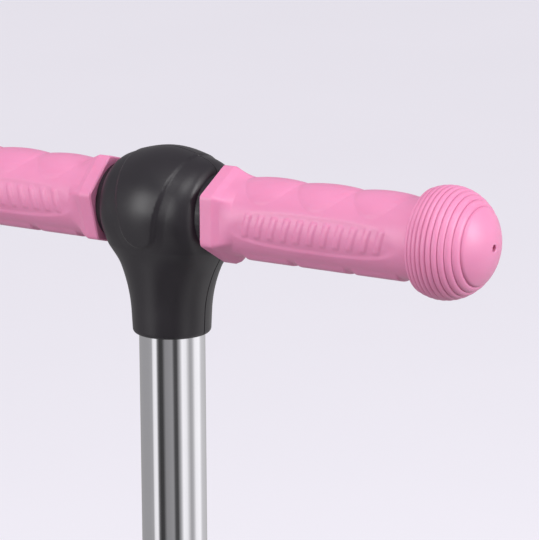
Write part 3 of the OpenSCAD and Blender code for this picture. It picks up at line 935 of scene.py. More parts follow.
@dataclass
class TJoint:
    """Two nylon shells round the crossing of bar and column, with the core and screws inside."""

    dome_r: float = 23.55
    shoulder_drop: float = 2.2
    crease_step: float = 1.1
    crease_width: float = 0.9
    shoulder_width: float = 4.2
    bulb_half: float = 25.4
    arm_r: float = 20.4
    arm_fall: float = 24.6
    arm_end: float = 21.3
    neck_r: float = 15.0
    neck_taper: float = 0.05
    neck_curve: float = 0.012
    neck_front_curve: float = 0.003
    blend: float = 4.5
    tongue_r: float = 7.0
    tongue_z: float = -5.0
    tongue_flare: float = 0.209
    screws: tuple[tuple[float, float], ...] = ((5, 18.2), (-5, 18.2), (14.8, -21.5), (-14.8, -21.5))
    screw_head_y: float = 4.0
    screw_head_r: float = 2.6
    core_screw_z: float = -35.0
    skin: float = 0.55

    def __post_init__(self) -> None:
        """Takes the neck's foot and the two bores from the CAD."""
        self.neck_z = extent("t_shell_front", T_JOINT)[0].z
        self.bar_bore = extent("t_core", T_JOINT)[1].y + 0.05
        self.tube_bore = extent("upper_tube", T_JOINT)[1].x + 0.05

    def arm_at(self, x: np.ndarray) -> np.ndarray:
        """Radius of an arm: a barrel that draws in towards the grip."""
        return self.arm_r * np.sqrt(np.maximum(0.05, 1 - np.minimum(1.0, np.abs(x) / self.arm_fall) ** 7))

    def neck_at(self, z: np.ndarray, curve: float) -> np.ndarray:
        """Half width of the neck: a straight collar that flares up into the bulb, wider sideways."""
        low = np.minimum(z, -14.0)
        return self.neck_r + self.neck_taper * (low - self.neck_z) + curve * np.maximum(0.0, low + 40) ** 2

    def beside_tongue(self, x: np.ndarray, z: np.ndarray) -> np.ndarray:
        """Distance outside the raised tongue, which is negative on it.

        Args:
            x: places across the column.
            z: places along the column.

        Returns:
            The distance at each place.
        """
        sine, cosine = self.tongue_flare, math.sqrt(1 - self.tongue_flare ** 2)
        side = np.abs(x) * cosine - (z - self.tongue_z) * sine
        along = np.abs(x) * sine + (z - self.tongue_z) * cosine
        return np.where(along > 0, side, np.hypot(x, z - self.tongue_z)) - self.tongue_r

    def drop(self, x: np.ndarray, z: np.ndarray) -> np.ndarray:
        """How far the surface lies below the dome: a sharp step at the crease, then a sloping shoulder.

        Args:
            x: places across the column.
            z: places along the column.

        Returns:
            The drop at each place.
        """
        beside = self.beside_tongue(x, z)
        step = self.crease_step * np.clip(beside / self.crease_width, 0, 1)
        shoulder = (self.shoulder_drop - self.crease_step) * np.clip(beside / self.shoulder_width, 0, 1)
        return step + shoulder

    def field(self, where: np.ndarray) -> np.ndarray:
        """Distance outside the joint's skin, with the bulb, arms and neck blended together.

        Args:
            where: places as rows.

        Returns:
            The distance at each place, negative inside.
        """
        x, y, z = where.T
        across = np.hypot(y, z)
        bulb_r = self.dome_r - self.drop(x, z)
        bulb = (np.sqrt((x / self.bulb_half) ** 2 + (across / bulb_r) ** 2) - 1) * bulb_r
        end = np.abs(x) - self.arm_end
        arm = self.rounded_and(across - self.arm_at(x), end, 1.2)
        wide, deep = self.neck_at(z, self.neck_curve), self.neck_at(z, self.neck_front_curve)
        round_neck = (np.sqrt((x / wide) ** 2 + (y / deep) ** 2) - 1) * deep
        neck = self.rounded_and(round_neck, self.neck_z - z, 1.6)
        neck = np.maximum(neck, z + 8)
        return self.melted(self.melted(bulb, arm), neck)

    def melted(self, a: np.ndarray, b: np.ndarray) -> np.ndarray:
        """Union of two fields with a soft fillet."""
        overlap = np.maximum(self.blend - np.abs(a - b), 0) / self.blend
        return np.minimum(a, b) - overlap ** 2 * self.blend / 4

    @staticmethod
    def rounded_and(a: np.ndarray, b: np.ndarray, radius: float) -> np.ndarray:
        """Intersection of two fields with its edge rounded by a radius."""
        outside = np.hypot(np.maximum(a + radius, 0), np.maximum(b + radius, 0))
        return np.minimum(np.maximum(a, b), -radius) + outside

    def skin_shape(self) -> bmesh.types.BMesh:
        """Even skin over rough solids, pulled onto the field's surface.

        Returns:
            The closed skin of the whole joint.
        """
        bulb = [(self.bulb_half * math.cos(a), self.dome_r * math.sin(a))
                for a in np.linspace(math.pi, 0, 40)]
        reach = max(abs(p[0]) for p in bulb if p[1] > self.arm_r - 8)
        along = np.linspace(-self.arm_end, self.arm_end, 30)
        arm = [(-self.arm_end, 0), *zip(along, self.arm_at(along)), (self.arm_end, 0)]
        flare = np.linspace(-40, -20, 8)
        neck = [(self.neck_z, 0), (self.neck_z, self.neck_r),
                *zip(flare, self.neck_at(flare, self.neck_front_curve)), (-12, 0)]
        inside = [(min(reach, max(-reach, a)) if abs(a) > self.arm_end else a, r) for a, r in bulb]
        inside = [(max(-self.arm_end, min(self.arm_end, a)), r) for a, r in inside]
        bm = fused([turned(inside, Turn.X, 72, closed=False), turned(arm, Turn.X, 72, closed=False),
                    turned(neck, Turn.Z, 72, closed=False)], self.skin)
        where = spots(bm)
        for _ in range(7):
            value = self.field(where)
            reach_by = 1e-3
            slope = np.stack([(self.field(where + reach_by * unit) - value) / reach_by
                              for unit in np.eye(3)], 1)
            steep = np.maximum((slope ** 2).sum(1), 0.25)
            where = where - (np.clip(value, -1.5, 1.5) / steep)[:, None] * slope
        set_spots(bm, where)
        return bm

    def cutters(self, front: bool) -> list[bmesh.types.BMesh]:
        """Bores for the bar and the tube, and stepped holes for the screws.

        Args:
            front: whether they are for the front shell, whose screw holes are blind.

        Returns:
            The cutters.
        """
        holes = []
        for x, z in self.screws:
            if front:
                outline = [(-0.5, 0), (-0.5, 1.5), (7, 1.5), (7, 0)]
            else:
                outline = [(-30, 0), (-30, self.screw_head_r), (-self.screw_head_y, self.screw_head_r),
                           (-self.screw_head_y, 1.7), (0.5, 1.7), (0.5, 0)]
            holes.append(moved(turned(outline, Turn.Z, 32, closed=False),
                               Matrix.Translation((x, 0, z)) @ Matrix.Rotation(math.pi / 2, 4, "X")))
        if not front:
            holes.append(moved(rod(3.6, 0, 30, steps=32), Matrix.Translation((0, 0, self.core_screw_z))
                               @ Matrix.Rotation(-math.pi / 2, 4, "X")))
        return [rod(self.bar_bore, -30, 30, Turn.X, 96), rod(self.tube_bore, self.neck_z - 1, -8, Turn.Z, 96),
                joined(holes)]

    def shell(self, skin: bmesh.types.BMesh, front: bool) -> None:
        """Splits one shell off the skin, closes it along the parting line, and cuts it.

        Args:
            skin: the whole joint, of which a copy is cut.
            front: whether it is the front shell or the rear one.
        """
        half = skin.copy()
        sign = -1 if front else 1
        seam = 0.06
        bmesh.ops.bisect_plane(half, geom=half.verts[:] + half.edges[:] + half.faces[:], dist=1e-4,
                               plane_co=(0, sign * seam, 0), plane_no=(0, sign, 0), clear_inner=True)
        rim = [e for e in half.edges if e.is_boundary]
        rim_verts = {v for e in rim for v in e.verts}
        for vert in rim_verts:
            inwards = vert.normal.copy()
            inwards.y = 0
            if inwards.length > 0:
                vert.co -= inwards.normalized() * 0.28
        bmesh.ops.holes_fill(half, edges=rim, sides=0)
        bmesh.ops.recalc_face_normals(half, faces=half.faces)
        which = "front" if front else "rear"
        piece(combined(half, self.cutters(front)), f"{which}_t_shell", T_JOINT, SATIN_NYLON,
              f"t_shell_{which}", sharp=38)

    def build(self) -> None:
        """Makes both shells, then the parts inside."""
        skin = self.skin_shape()
        self.shell(skin, front=True)
        self.shell(skin, front=False)
        skin.free()
        refined("t_core", SATIN_NYLON, 0.4, T_JOINT)
        refined("t_shell_screws", ZINC_SCREW, 0.2, T_JOINT)
        refined("core_screw", ZINC_SCREW, 0.2, T_JOINT)
        refined("cross_tube", STEEL_TUBE, 0.2, T_JOINT)


@dataclass
class Column:
    """Chromed upper tube that slides in the lower tube, with its guide and the height clamp."""

    wall: float = 1.5
    edge: float = 0.35

    def tube(self, node: str, name: str, finish: Finish, hole_r: float, hole_z: float) -> None:
        """Turns a tube as smooth as its finish needs, with a cross hole where the CAD has one.

        Args:
            node: the CAD node that it stands for.
            name: the piece's name.
            finish: its metal.
            hole_r: radius of the cross hole.
            hole_z: height of the cross hole in the column.
        """
        low, high = extent(node, COLUMN)
        outer, inner = high.x, high.x - self.wall
        ring = fillet([(low.z, outer, self.edge), (high.z, outer, self.edge),
                       (high.z, inner, self.edge), (low.z, inner, self.edge)])
        through = -40 if node == "lower_tube" else 0
        hole = moved(rod(hole_r, through, 40, steps=32),
                     Matrix.Translation((0, 0, hole_z)) @ Matrix.Rotation(-math.pi / 2, 4, "X"))
        piece(combined(turned(ring, steps=160), [hole]), name, COLUMN, finish, node, sharp=40)

    def build(self) -> None:
        """Builds the tubes, the guide and the clamp."""
        screw_z = extent("core_screw", COLUMN)
        self.tube("upper_tube", "chromed_upper_tube", CHROME, 1.7, (screw_z[0].z + screw_z[1].z) / 2)
        bolt_z = extent("column_bolt", COLUMN)
        self.tube("lower_tube", "anodised_lower_tube", ANODISED, 3.05, (bolt_z[0].z + bolt_z[1].z) / 2)
        refined("upper_tube_foot", SATIN_NYLON, 0.3, COLUMN)
        refined("lower_tube_bush", SATIN_NYLON, 0.4, COLUMN)
        refined("clamp_collar", SATIN_NYLON, 0.9, COLUMN)
        refined("clamp_lever", SATIN_NYLON, 0.6, COLUMN)
        for node in ("clamp_bolt", "clamp_nut", "clamp_lever_pin"):
            refined(node, ZINC_SCREW, 0.3, COLUMN)


@dataclass
class Wheel:
    """A cast tyre keyed onto a moulded hub, with a bearing pressed into each side."""

    name: str
    spin: str
    side: Side
    tyre_node: str
    hub_node: str
    bearings_node: str
    spokes: int
    key_height: float = 2.4
    key_half: float = 4.8
    boss_r: float = 15.0
    seat_r: float = 11.02
    seat_depth: float = 7.0
    bearing_bore: float = 4.05
    groove_z: float = 4.6
    groove_depth: float = 0.8

    def __post_init__(self) -> None:
        """Takes the wheel's size from the CAD."""
        self.place = wheel_place(self.spin, self.side)
        high = extent(self.tyre_node, self.place)[1]
        self.radius, self.half = high.x - 0.04, high.z
        self.rim_r = extent(self.hub_node, self.place)[1].x - self.key_height

    def tyre(self) -> bmesh.types.BMesh:
        """Crowned tread with two worn-in grooves, rounded shoulders, and a sunk ring on each sidewall.

        Returns:
            The tyre, turned about its axle.
        """
        crown = 1.44 * self.half
        across = np.linspace(2.2 - self.half, self.half - 2.2, 61)
        near = np.abs(np.abs(across) - self.groove_z)
        tread = self.radius - crown + np.sqrt(crown ** 2 - across ** 2)
        tread -= self.groove_depth * ease((1.3 - near) / 0.9)
        edge_r = self.radius - crown + math.sqrt(crown ** 2 - self.half ** 2)
        side = [(self.half, edge_r, 2.0), (self.half, edge_r - 2.6, 0.6),
                (self.half - 0.5, edge_r - 3.2, 0.6), (self.half - 0.5, self.rim_r + 2.9, 0.6),
                (self.half, self.rim_r + 2.3, 0.6),
                (self.half, self.rim_r, 0.3), (self.key_half, self.rim_r, 0.2),
                (self.key_half, self.rim_r + self.key_height + 0.1, 0.2)]
        far = [(-a, r, radius) for a, r, radius in reversed(side)]
        return turned(fillet([*side, *far, *((a, r, 0) for a, r in zip(across, tread))]), steps=144)

    def hub(self) -> bmesh.types.BMesh:
        """Boss, web and rim in one turned body, with spokes on both faces of the web.

        Returns:
            The hub, turned about its axle.
        """
        rim_half, web_half, spoke_half = self.half - 2, 1.5, self.half - 5
        rim_in, rim_out = self.rim_r - 5, self.rim_r - 0.05
        side = [(self.half - self.seat_depth, 8.5, 0.3), (self.half - self.seat_depth, self.seat_r, 0.2),
                (self.half, self.seat_r, 0.4), (self.half, self.boss_r, 1.0),
                (web_half, self.boss_r + 0.6, 2.0), (web_half, rim_in - 0.6, 2.0),
                (rim_half, rim_in, 1.0), (rim_half, rim_out, 0.5),
                (self.key_half - 0.05, rim_out, 0.3), (self.key_half - 0.05, rim_out + self.key_height, 0.3)]
        far = [(-a, r, radius) for a, r, radius in reversed(side)]
        body = turned(fillet([*side, *far]), steps=120)
        spoke = [(self.seat_r + 1.4, -spoke_half), (rim_in + 1.5, -spoke_half + 1),
                 (rim_in + 1.5, spoke_half - 1), (self.seat_r + 1.4, spoke_half)]
        arms = []
        for i in range(self.spokes):
            blade = moved(plate(spoke, -3.4, 3.4, 1.1), Matrix.Rotation(FULL_TURN * i / self.spokes, 4, "Z"))
            arms.append(blade)
        return combined(body, arms, "UNION")

    def bearings(self) -> bmesh.types.BMesh:
        """Two shielded bearings: chamfered races with a dished shield sunk between them.

        Returns:
            Both bearings as one shape.
        """
        outer, bore = self.seat_r - 0.07, self.bearing_bore
        face = [(0, bore, 0.3), (0, 6.2, 0.2), (0.5, 6.4, 0.1), (0.35, 7.6, 0.5), (0.5, 8.8, 0.1),
                (0, 9.0, 0.2), (0, outer, 0.5)]
        far = [(self.seat_depth - a, r, radius) for a, r, radius in reversed(face)]
        ring = fillet([*face, *far])
        return joined(moved(turned(ring, steps=96), Matrix.Translation((0, 0, start)))
                      for start in (-self.half, self.half - self.seat_depth))

    def build(self) -> None:
        """Makes the three pieces."""
        piece(self.tyre(), f"{self.name}_tyre", self.place, TYRE_URETHANE, self.tyre_node, sharp=50)
        piece(self.hub(), f"{self.name}_hub", self.place, HUB_NYLON, self.hub_node)
        piece(self.bearings(), f"{self.name}_bearings", self.place, BEARING_STEEL, self.bearings_node)


@dataclass
class HubCap:
    """Domed cap that snaps over the outer end of a front axle."""

    side: Side
    shell: float = 1.6
    inner_r: float = 9.0
    outer_r: float = 14.4

    def build(self) -> None:
        """Turns the cap, with a shallow groove round its dome."""
        node = f"hub_cap_{self.side.word}"
        place = wheel_place(f"front_wheel_{self.side.word}_spin", self.side)
        low, high = extent(node, place)
        foot, top = low.z, high.z
        inside = [(top - self.shell, 0, 0), (top - self.shell, self.inner_r, 0.5), (foot, self.inner_r, 0.3)]
        skirt = [(foot, self.outer_r, 0.3), (foot + 2.4, self.outer_r, 1.6),
                 (foot + 5.0, self.outer_r - 1.5, 1.8)]
        groove = [(foot + 6.25, 9.9, 0.5), (foot + 5.85, 9.4, 0.3), (foot + 6.45, 8.9, 0.5)]
        dome = [(top - 0.05, 5.0, 4.0), (top - 0.05, 0, 0)]
        outline = fillet([*inside, *skirt, *groove, *dome])
        piece(turned(outline, closed=False), f"{self.side.word}_hub_cap", place, SATIN_NYLON, node)


@dataclass
class Truck:
    """Cast beam that rocks on the kingpin between two urethane bushes."""

    boss_r: float = 14.0
    boss_half: float = 11.0
    arm_end: float = 88.0
    pin_r: float = 5.05
    axle_r: float = 4.0
    bush_r: float = 12.5
    bush_h: float = 7.0

    def beam(self) -> None:
        """Melts the boss and the tapered arms together as a casting, then bores it."""
        arm = [(8, 10.5), (self.arm_end - 14, 9.2), (self.arm_end - 11, 11.5), (self.arm_end, 11.5)]
        outline = [(-a, r) for a, r in reversed(arm)] + arm
        outline = [(-self.arm_end, 0), *outline, (self.arm_end, 0)]
        boss = rod(self.boss_r, -self.boss_half, self.boss_half)
        skin = fused([boss, turned(outline, Turn.X, 72, closed=False)], 0.8, smooth=5)
        bores = [rod(self.pin_r, -20, 20)]
        bores += [rod(self.axle_r, *reach, Turn.X, 48) for reach in ((56, 96), (-96, -56))]
        piece(combined(skin, bores), "cast_truck_beam", TRUCK, CAST_ALUMINIUM, "truck_beam", sharp=50)

    def bushes(self) -> None:
        """Turns both bushes, each with a slight waist."""
        low = self.boss_half + 0.2
        high = low + self.bush_h
        waist = ((low + high) / 2, self.bush_r - 0.9, 2.5)
        outline = fillet([(low, self.pin_r, 0.3), (low, self.bush_r, 1.3), waist, (high, self.bush_r, 1.3),
                          (high, self.pin_r, 0.3)])
        below = [(-a, r) for a, r in outline]
        piece(joined([turned(outline), turned(below)]), "urethane_lean_bushes", TRUCK, BUSH_URETHANE,
              "lean_bushes", sharp=50)

    def build(self) -> None:
        """Makes the casting and the bushes, then the steel round them."""
        self.beam()
        self.bushes()
        refined("truck_bracket", ZINC_PLATE, 0.8, TRUCK)
        for node in ("bracket_bolts", "kingpin", "kingpin_nut"):
            refined(node, ZINC_SCREW, 0.4, TRUCK)
        for side in Side:
            refined(f"front_axle_{side.word}", ZINC_SCREW, 0.3)
            refined(f"front_spacers_{side.word}", ZINC_SCREW, 0.2)


@dataclass
class Housing:
    """Black cowl that carries the lower tube on the deck's nose."""

    base: float = 72.1
    voxel: float = 1.1
    pocket_half: float = 16.0
    saddle: float = 19.0
    saddle_top: float = 27.3
    lug_out: float = 28.7
    sleeve_r: float = 22.0
    sleeve_end: float = 56.0
    discs: tuple[tuple[float, float], ...] = ((34, -163), (36, -133))
    toe: tuple[float, float, float] = (20, -233, 100)
    tube_bore: float = 15.95
    column_bolt_bore: float = 3.05
    column_bolt_z: float = 30.0
    bracket_bolt_bore: float = 2.9
    bracket_bolt: tuple[float, float] = (9.0, -13.0)
    screw_bore: float = 1.9

    def skin(self, column: Matrix) -> bmesh.types.BMesh:
        """Melts the wedge and the tube's sleeve together.

        Args:
            column: matrix from the column's frame to the scooter's.

        Returns:
            The cowl before it is hollowed.
        """
        toe_r, *toe = self.toe
        wedge = wrapped([
            moved(rod(self.sleeve_r + 2, 4, 8), column),
            *(moved(rod(radius, 0, 3), Matrix.Translation((0, y, self.base))) for radius, y in self.discs),
            moved(rod(toe_r, 0, 6), Matrix.Translation((0, *toe))),
        ])
        sleeve = turned(fillet([
            (0, 0, 0), (0, self.sleeve_r, 0.5), (self.sleeve_end - 11, self.sleeve_r, 4),
            (self.sleeve_end, self.sleeve_r - 2.4, 1.5), (self.sleeve_end, 0, 0)]), closed=False)
        return fused([wedge, moved(sleeve, column)], self.voxel, smooth=7)

    def hollows(self, column: Matrix, truck: Matrix) -> list[bmesh.types.BMesh]:
        """Bores for the tube and the bolts, and the bay that the truck rocks in.

        Args:
            column: matrix from the column's frame to the scooter's.
            truck: matrix from the truck's frame to the scooter's.

        Returns:
            The cutters.
        """
        through = Matrix.Translation((0, 0, self.column_bolt_z)) @ Matrix.Rotation(math.pi / 2, 4, "X")
        bay = [((-self.pocket_half, 0, -self.lug_out), (self.pocket_half, self.saddle_top, self.lug_out)),
               ((-50, -30, -30), (50, self.saddle, 30))]
        x, z = self.bracket_bolt
        bolts = [Matrix.Translation((side * x, self.saddle, z)) @ Matrix.Rotation(-math.pi / 2, 4, "X")
                 for side in (-1, 1)]
        return [
            moved(rod(self.tube_bore, 0, 80, steps=96), column),
            moved(rod(self.column_bolt_bore, -40, 40, steps=32), column @ through),
            *(moved(block(low, high), truck) for low, high in bay),
            joined(moved(rod(self.bracket_bolt_bore, -1, 22, steps=32), truck @ bolt) for bolt in bolts),
            joined(moved(rod(self.screw_bore, self.base - 5.1, self.base + 8.9, steps=24),
                         Matrix.Translation((*at, 0))) for at in COWL_SCREWS),
        ]

    def build(self) -> None:
        """Makes the cowl and its screws."""
        column, truck = WORLD.inverted() @ COLUMN, WORLD.inverted() @ TRUCK
        cowl = combined(self.skin(column), self.hollows(column, truck))
        piece(cowl, "front_cowl", WORLD, SATIN_NYLON, "front_housing", sharp=50)
        refined("housing_screws", ZINC_SCREW, 0.3)
        refined("column_bolt", ZINC_SCREW, 0.4, COLUMN)


@dataclass
class Deck:
    """Moulded footboard with a fork for the rear wheel, and the mat in its recess."""

    front: float = -177.0
    rear: float = 195.0
    floor: float = 48.0
    top: float = 72.0
    nose_half: float = 38.0
    full_half: float = 64.0
    tail_half: float = 36.0
    fork_in: float = 15.6
    fork_out: float = 26.0
    cell: float = 38.0
    cells: int = 6
    rib: float = 3.0
    wall: float = 4.0
    keel_half: float = 2.0
    recess_from: float = 82.0
    recess_to: float = 16.0
    recess_depth: float = 1.5
    mat_gap: float = 0.3
    border_middle: float = 4.0
    border_half: float = 1.6
    dot_pitch: float = 11.0
    dot_r: float = 3.4
    dot_height: float = 1.15

    def half(self, y: float | np.ndarray) -> float | np.ndarray:
        """Half width of the outline at a distance along the scooter.

        Args:
            y: distance along the scooter.

        Returns:
            The half width there.
        """
        nose, tail = ease((y - self.front) / 120), ease((self.rear - y) / 110)
        return (self.nose_half + (self.full_half - self.nose_half) * nose
                - (self.full_half - self.tail_half) * (1 - tail))

    def slab(self, low: Vector, high: Vector, inset: float, corner: float,
             edges: tuple[float, float]) -> bmesh.types.BMesh:
        """Board that follows the deck's outline.

        Args:
            low: Y and Z where it starts.
            high: Y and Z where it ends.
            inset: how far it stays inside the outline.
            corner: radius of its corners seen from above.
            edges: radius of its lower and upper edges.

        Returns:
            The board.
        """
        reach = high.x - low.x
        ends = corner * (1 - np.cos(np.linspace(0, math.pi / 2, 9)))
        along = sorted({*ends, *(reach - ends), *np.linspace(corner, reach - corner, 60)})
        rings = []
        for d in along:
            off = min(d, reach - d)
            w = float(self.half(low.x + d) - inset - rounding(corner, off))
            bottom, top = low.y + float(rounding(edges[0], off)), high.y - float(rounding(edges[1], off))
            outline = fillet([(-w, bottom, edges[0]), (w, bottom, edges[0]), (w, top, edges[1]),
                              (-w, top, edges[1])], steps=5)
            rings.append([(x, low.x + d, z) for x, z in outline])
        return lofted(rings)

    def fork_side(self, side: int) -> bmesh.types.BMesh:
        """One side of the fork, with the post that carries the brake's pin.

        Args:
            side: 1 for the rider's left, -1 for the right.

        Returns:
            The plate.
        """
        y, z = REAR_AXLE
        pin_y, pin_z = BRAKE_PIN
        outline = fillet([
            (self.rear - 9, z - 10, 5), (y + 10, z - 10, 10), (y + 10, z + 10, 10), (pin_y + 8, z + 10, 4),
            (pin_y + 8, pin_z + 8, 8), (pin_y - 8, pin_z + 8, 8), (self.rear, self.top - 3, 1.5),
            (self.rear - 9, self.top - 6, 1)], steps=8)
        low, high = sorted((side * self.fork_in, side * self.fork_out))
        return plate(outline, low, high, 1.6)

    def pockets(self) -> list[bmesh.types.BMesh]:
        """Hollows of the underside, between the ribs.

        Returns:
            The cutters.
        """
        start = self.front + 64
        hollows = []
        for i in range(self.cells):
            low = start + i * self.cell + (self.rib if i else 0)
            high = start + (i + 1) * self.cell if i < self.cells - 1 else self.rear - 12
            for side in (-1, 1):
                rings = []
                for y in np.linspace(low, high, 9):
                    near, far = sorted((side * self.keel_half, side * (float(self.half(y)) - self.wall)))
                    outline = fillet([(near, self.floor - 5, 0), (far, self.floor - 5, 0),
                                      (far, self.top - self.wall, 1.5), (near, self.top - self.wall, 1.5)])
                    rings.append([(x, y, z) for x, z in outline])
                hollows.append(lofted(rings))
        return hollows

    def bores(self) -> list[bmesh.types.BMesh]:
        """Holes for the axle and the pin, and stepped holes for the cowl's screws.

        Returns:
            The cutters.
        """
        step_z = self.top - 11.9
        stepped = [(self.floor - 1, 0), (self.floor - 1, 4.4), (step_z, 4.4), (step_z, 1.9),
                   (self.top + 4, 1.9), (self.top + 4, 0)]
        places = ((REAR_AXLE, 4.0), (BRAKE_PIN, 2.5))
        return [
            *(moved(rod(radius, -40, 40, Turn.X, 48), Matrix.Translation((0, *at)))
              for at, radius in places),
            joined(moved(turned(stepped, steps=32, closed=False), Matrix.Translation((*at, 0)))
                   for at in COWL_SCREWS),
        ]

    def board(self) -> None:
        """Joins the board and the fork, then hollows them."""
        whole = self.slab(Vector((self.front, self.floor)), Vector((self.rear, self.top)), 0, 10,
                          (2.0, 3.5))
        whole = combined(whole, [self.fork_side(-1), self.fork_side(1)], "UNION")
        recess = self.slab(Vector((self.front + self.recess_from, self.top - self.recess_depth)),
                           Vector((self.rear - self.recess_to, self.top + 3)), 8, 5, (0.3, 0.3))
        piece(combined(whole, [joined(self.pockets()), recess, *self.bores()]), "moulded_deck", WORLD,
              DECK_PLASTIC, "deck", sharp=38)

    def mat(self) -> None:
        """Lays a grid over the recess, raises its dots and its border, and closes it below."""
        y0 = self.front + self.recess_from + self.mat_gap
        y1 = self.rear - self.recess_to - self.mat_gap
        inset, low = 8 + self.mat_gap, self.top - self.recess_depth + 0.1
        columns, rows, corner = 110, 250, 5.0
        bm = bmesh.new()
        bmesh.ops.create_grid(bm, x_segments=columns, y_segments=rows, size=1)
        where = spots(bm)
        y = y0 + (y1 - y0) * (where[:, 1] + 1) / 2
        off = np.minimum(y - y0, y1 - y)
        half = self.half(y) - inset - rounding(corner, off)
        x = where[:, 0] * half
        border = np.minimum(half - np.abs(x), off)
        row_pitch = self.dot_pitch * 0.866
        row = np.round(y / row_pitch)
        dot_y = y - row * row_pitch
        shift = self.dot_pitch / 2
        dot_x = (x + (row % 2) * shift + shift) % self.dot_pitch - shift
        dots = ease((self.dot_r - np.hypot(dot_x, dot_y)) / 0.9 + 0.5) * (border > 8.5)
        frame_line = ease((self.border_half - np.abs(border - self.border_middle)) / 0.8 + 0.5)
        z = self.top + 0.25 + self.dot_height * np.maximum(dots, frame_line) - 0.6 * (1 - ease(border / 1.0))
        set_spots(bm, np.stack([x, y, z], 1))
        rim = [e for e in bm.edges if e.is_boundary]
        out = bmesh.ops.extrude_edge_only(bm, edges=rim)
        for fallen in (g for g in out["geom"] if isinstance(g, bmesh.types.BMVert)):
            fallen.co.z = low
        bmesh.ops.holes_fill(bm, edges=[e for e in bm.edges if e.is_boundary], sides=0)
        bmesh.ops.recalc_face_normals(bm, faces=bm.faces)
        piece(bm, "footboard_mat", WORLD, MAT_RUBBER, "grip_mat", sharp=60)

    def build(self) -> None:
        """Makes the board and the mat."""
        self.board()
        self.mat()


@dataclass
class Brake:
    """Fender that is pressed onto the rear wheel, with its pad, pin and return spring."""

    inner_r: float = 46.6
    thick: float = 3.0
    neck_half: float = 15.2
    full_half: float = 19.0
    start: float = -50.0
    end: float = 53.0
    corner: float = 9.0
    tread_from: float = 25.0
    tread_pitch: float = 5.0
    treads: int = 4
    tread_height: float = 0.55
    ear_in: float = 9.0
    ear_out: float = 14.4
    ear_r: float = 6.0
    pin_bore: float = 2.55

    def plate(self) -> bmesh.types.BMesh:
        """Curved plate: narrow between the fork's posts, then full, with rounded corners and foot treads.

        Returns:
            The plate before its lugs are joined on.
        """
        rings = []
        for a in np.linspace(self.start, self.end, 131):
            off = math.radians(self.end - a) * self.inner_r
            half = self.neck_half + (self.full_half - self.neck_half) * float(ease((a + 27.5) / 8))
            half -= float(rounding(self.corner, off))
            phase = (a - self.tread_from) / self.tread_pitch
            raised = max(0.0, math.sin(2 * math.pi * phase)) if 0 < phase < self.treads else 0.0
            outer = self.inner_r + self.thick + self.tread_height * raised
            lip = 1.2 * math.sqrt(min(1.0, max(0.04, off / 2)))
            outline = fillet([(-half, self.inner_r, lip), (half, self.inner_r, lip), (half, outer, lip),
                              (-half, outer, lip)])
            sine, cosine = math.sin(math.radians(a)), math.cos(math.radians(a))
            y, z = REAR_AXLE
            rings.append([(x, y + r * sine, z + r * cosine) for x, r in outline])
        return lofted(rings)

    def ear(self, side: int) -> bmesh.types.BMesh:
        """Lug that turns on the pin and runs down into the plate.

        Args:
            side: 1 for the rider's left, -1 for the right.

        Returns:
            The lug.
        """
        r = self.ear_r
        outline = fillet([(-r, -r, r), (0, -r, 0), (9.6, -2, 1), (9.6, 5.6, 1), (0, r, 2), (-r, r, r)],
                         steps=8)
        low, high = sorted((side * self.ear_in, side * self.ear_out))
        aim = math.atan2(REAR_AXLE[1] - BRAKE_PIN[1], REAR_AXLE[0] - BRAKE_PIN[0])
        return moved(plate(outline, low, high, 0.8),
                     Matrix.Translation((0, *BRAKE_PIN)) @ Matrix.Rotation(aim, 4, "X"))

    def build(self) -> None:
        """Makes the fender, then the small parts that go with it."""
        whole = combined(self.plate(), [self.ear(-1), self.ear(1)], "UNION")
        bore = moved(rod(self.pin_bore, -30, 30, Turn.X, 48), Matrix.Translation((0, *BRAKE_PIN)))
        piece(combined(whole, [bore]), "brake_fender_plate", WORLD, SATIN_NYLON, "brake_fender", sharp=40)
        refined("brake_pad", ZINC_PLATE, 0.5)
        refined("brake_spring", SPRING_WIRE, 0.1)
        for node in ("brake_pad_rivets", "brake_pin"):
            refined(node, ZINC_SCREW, 0.4)


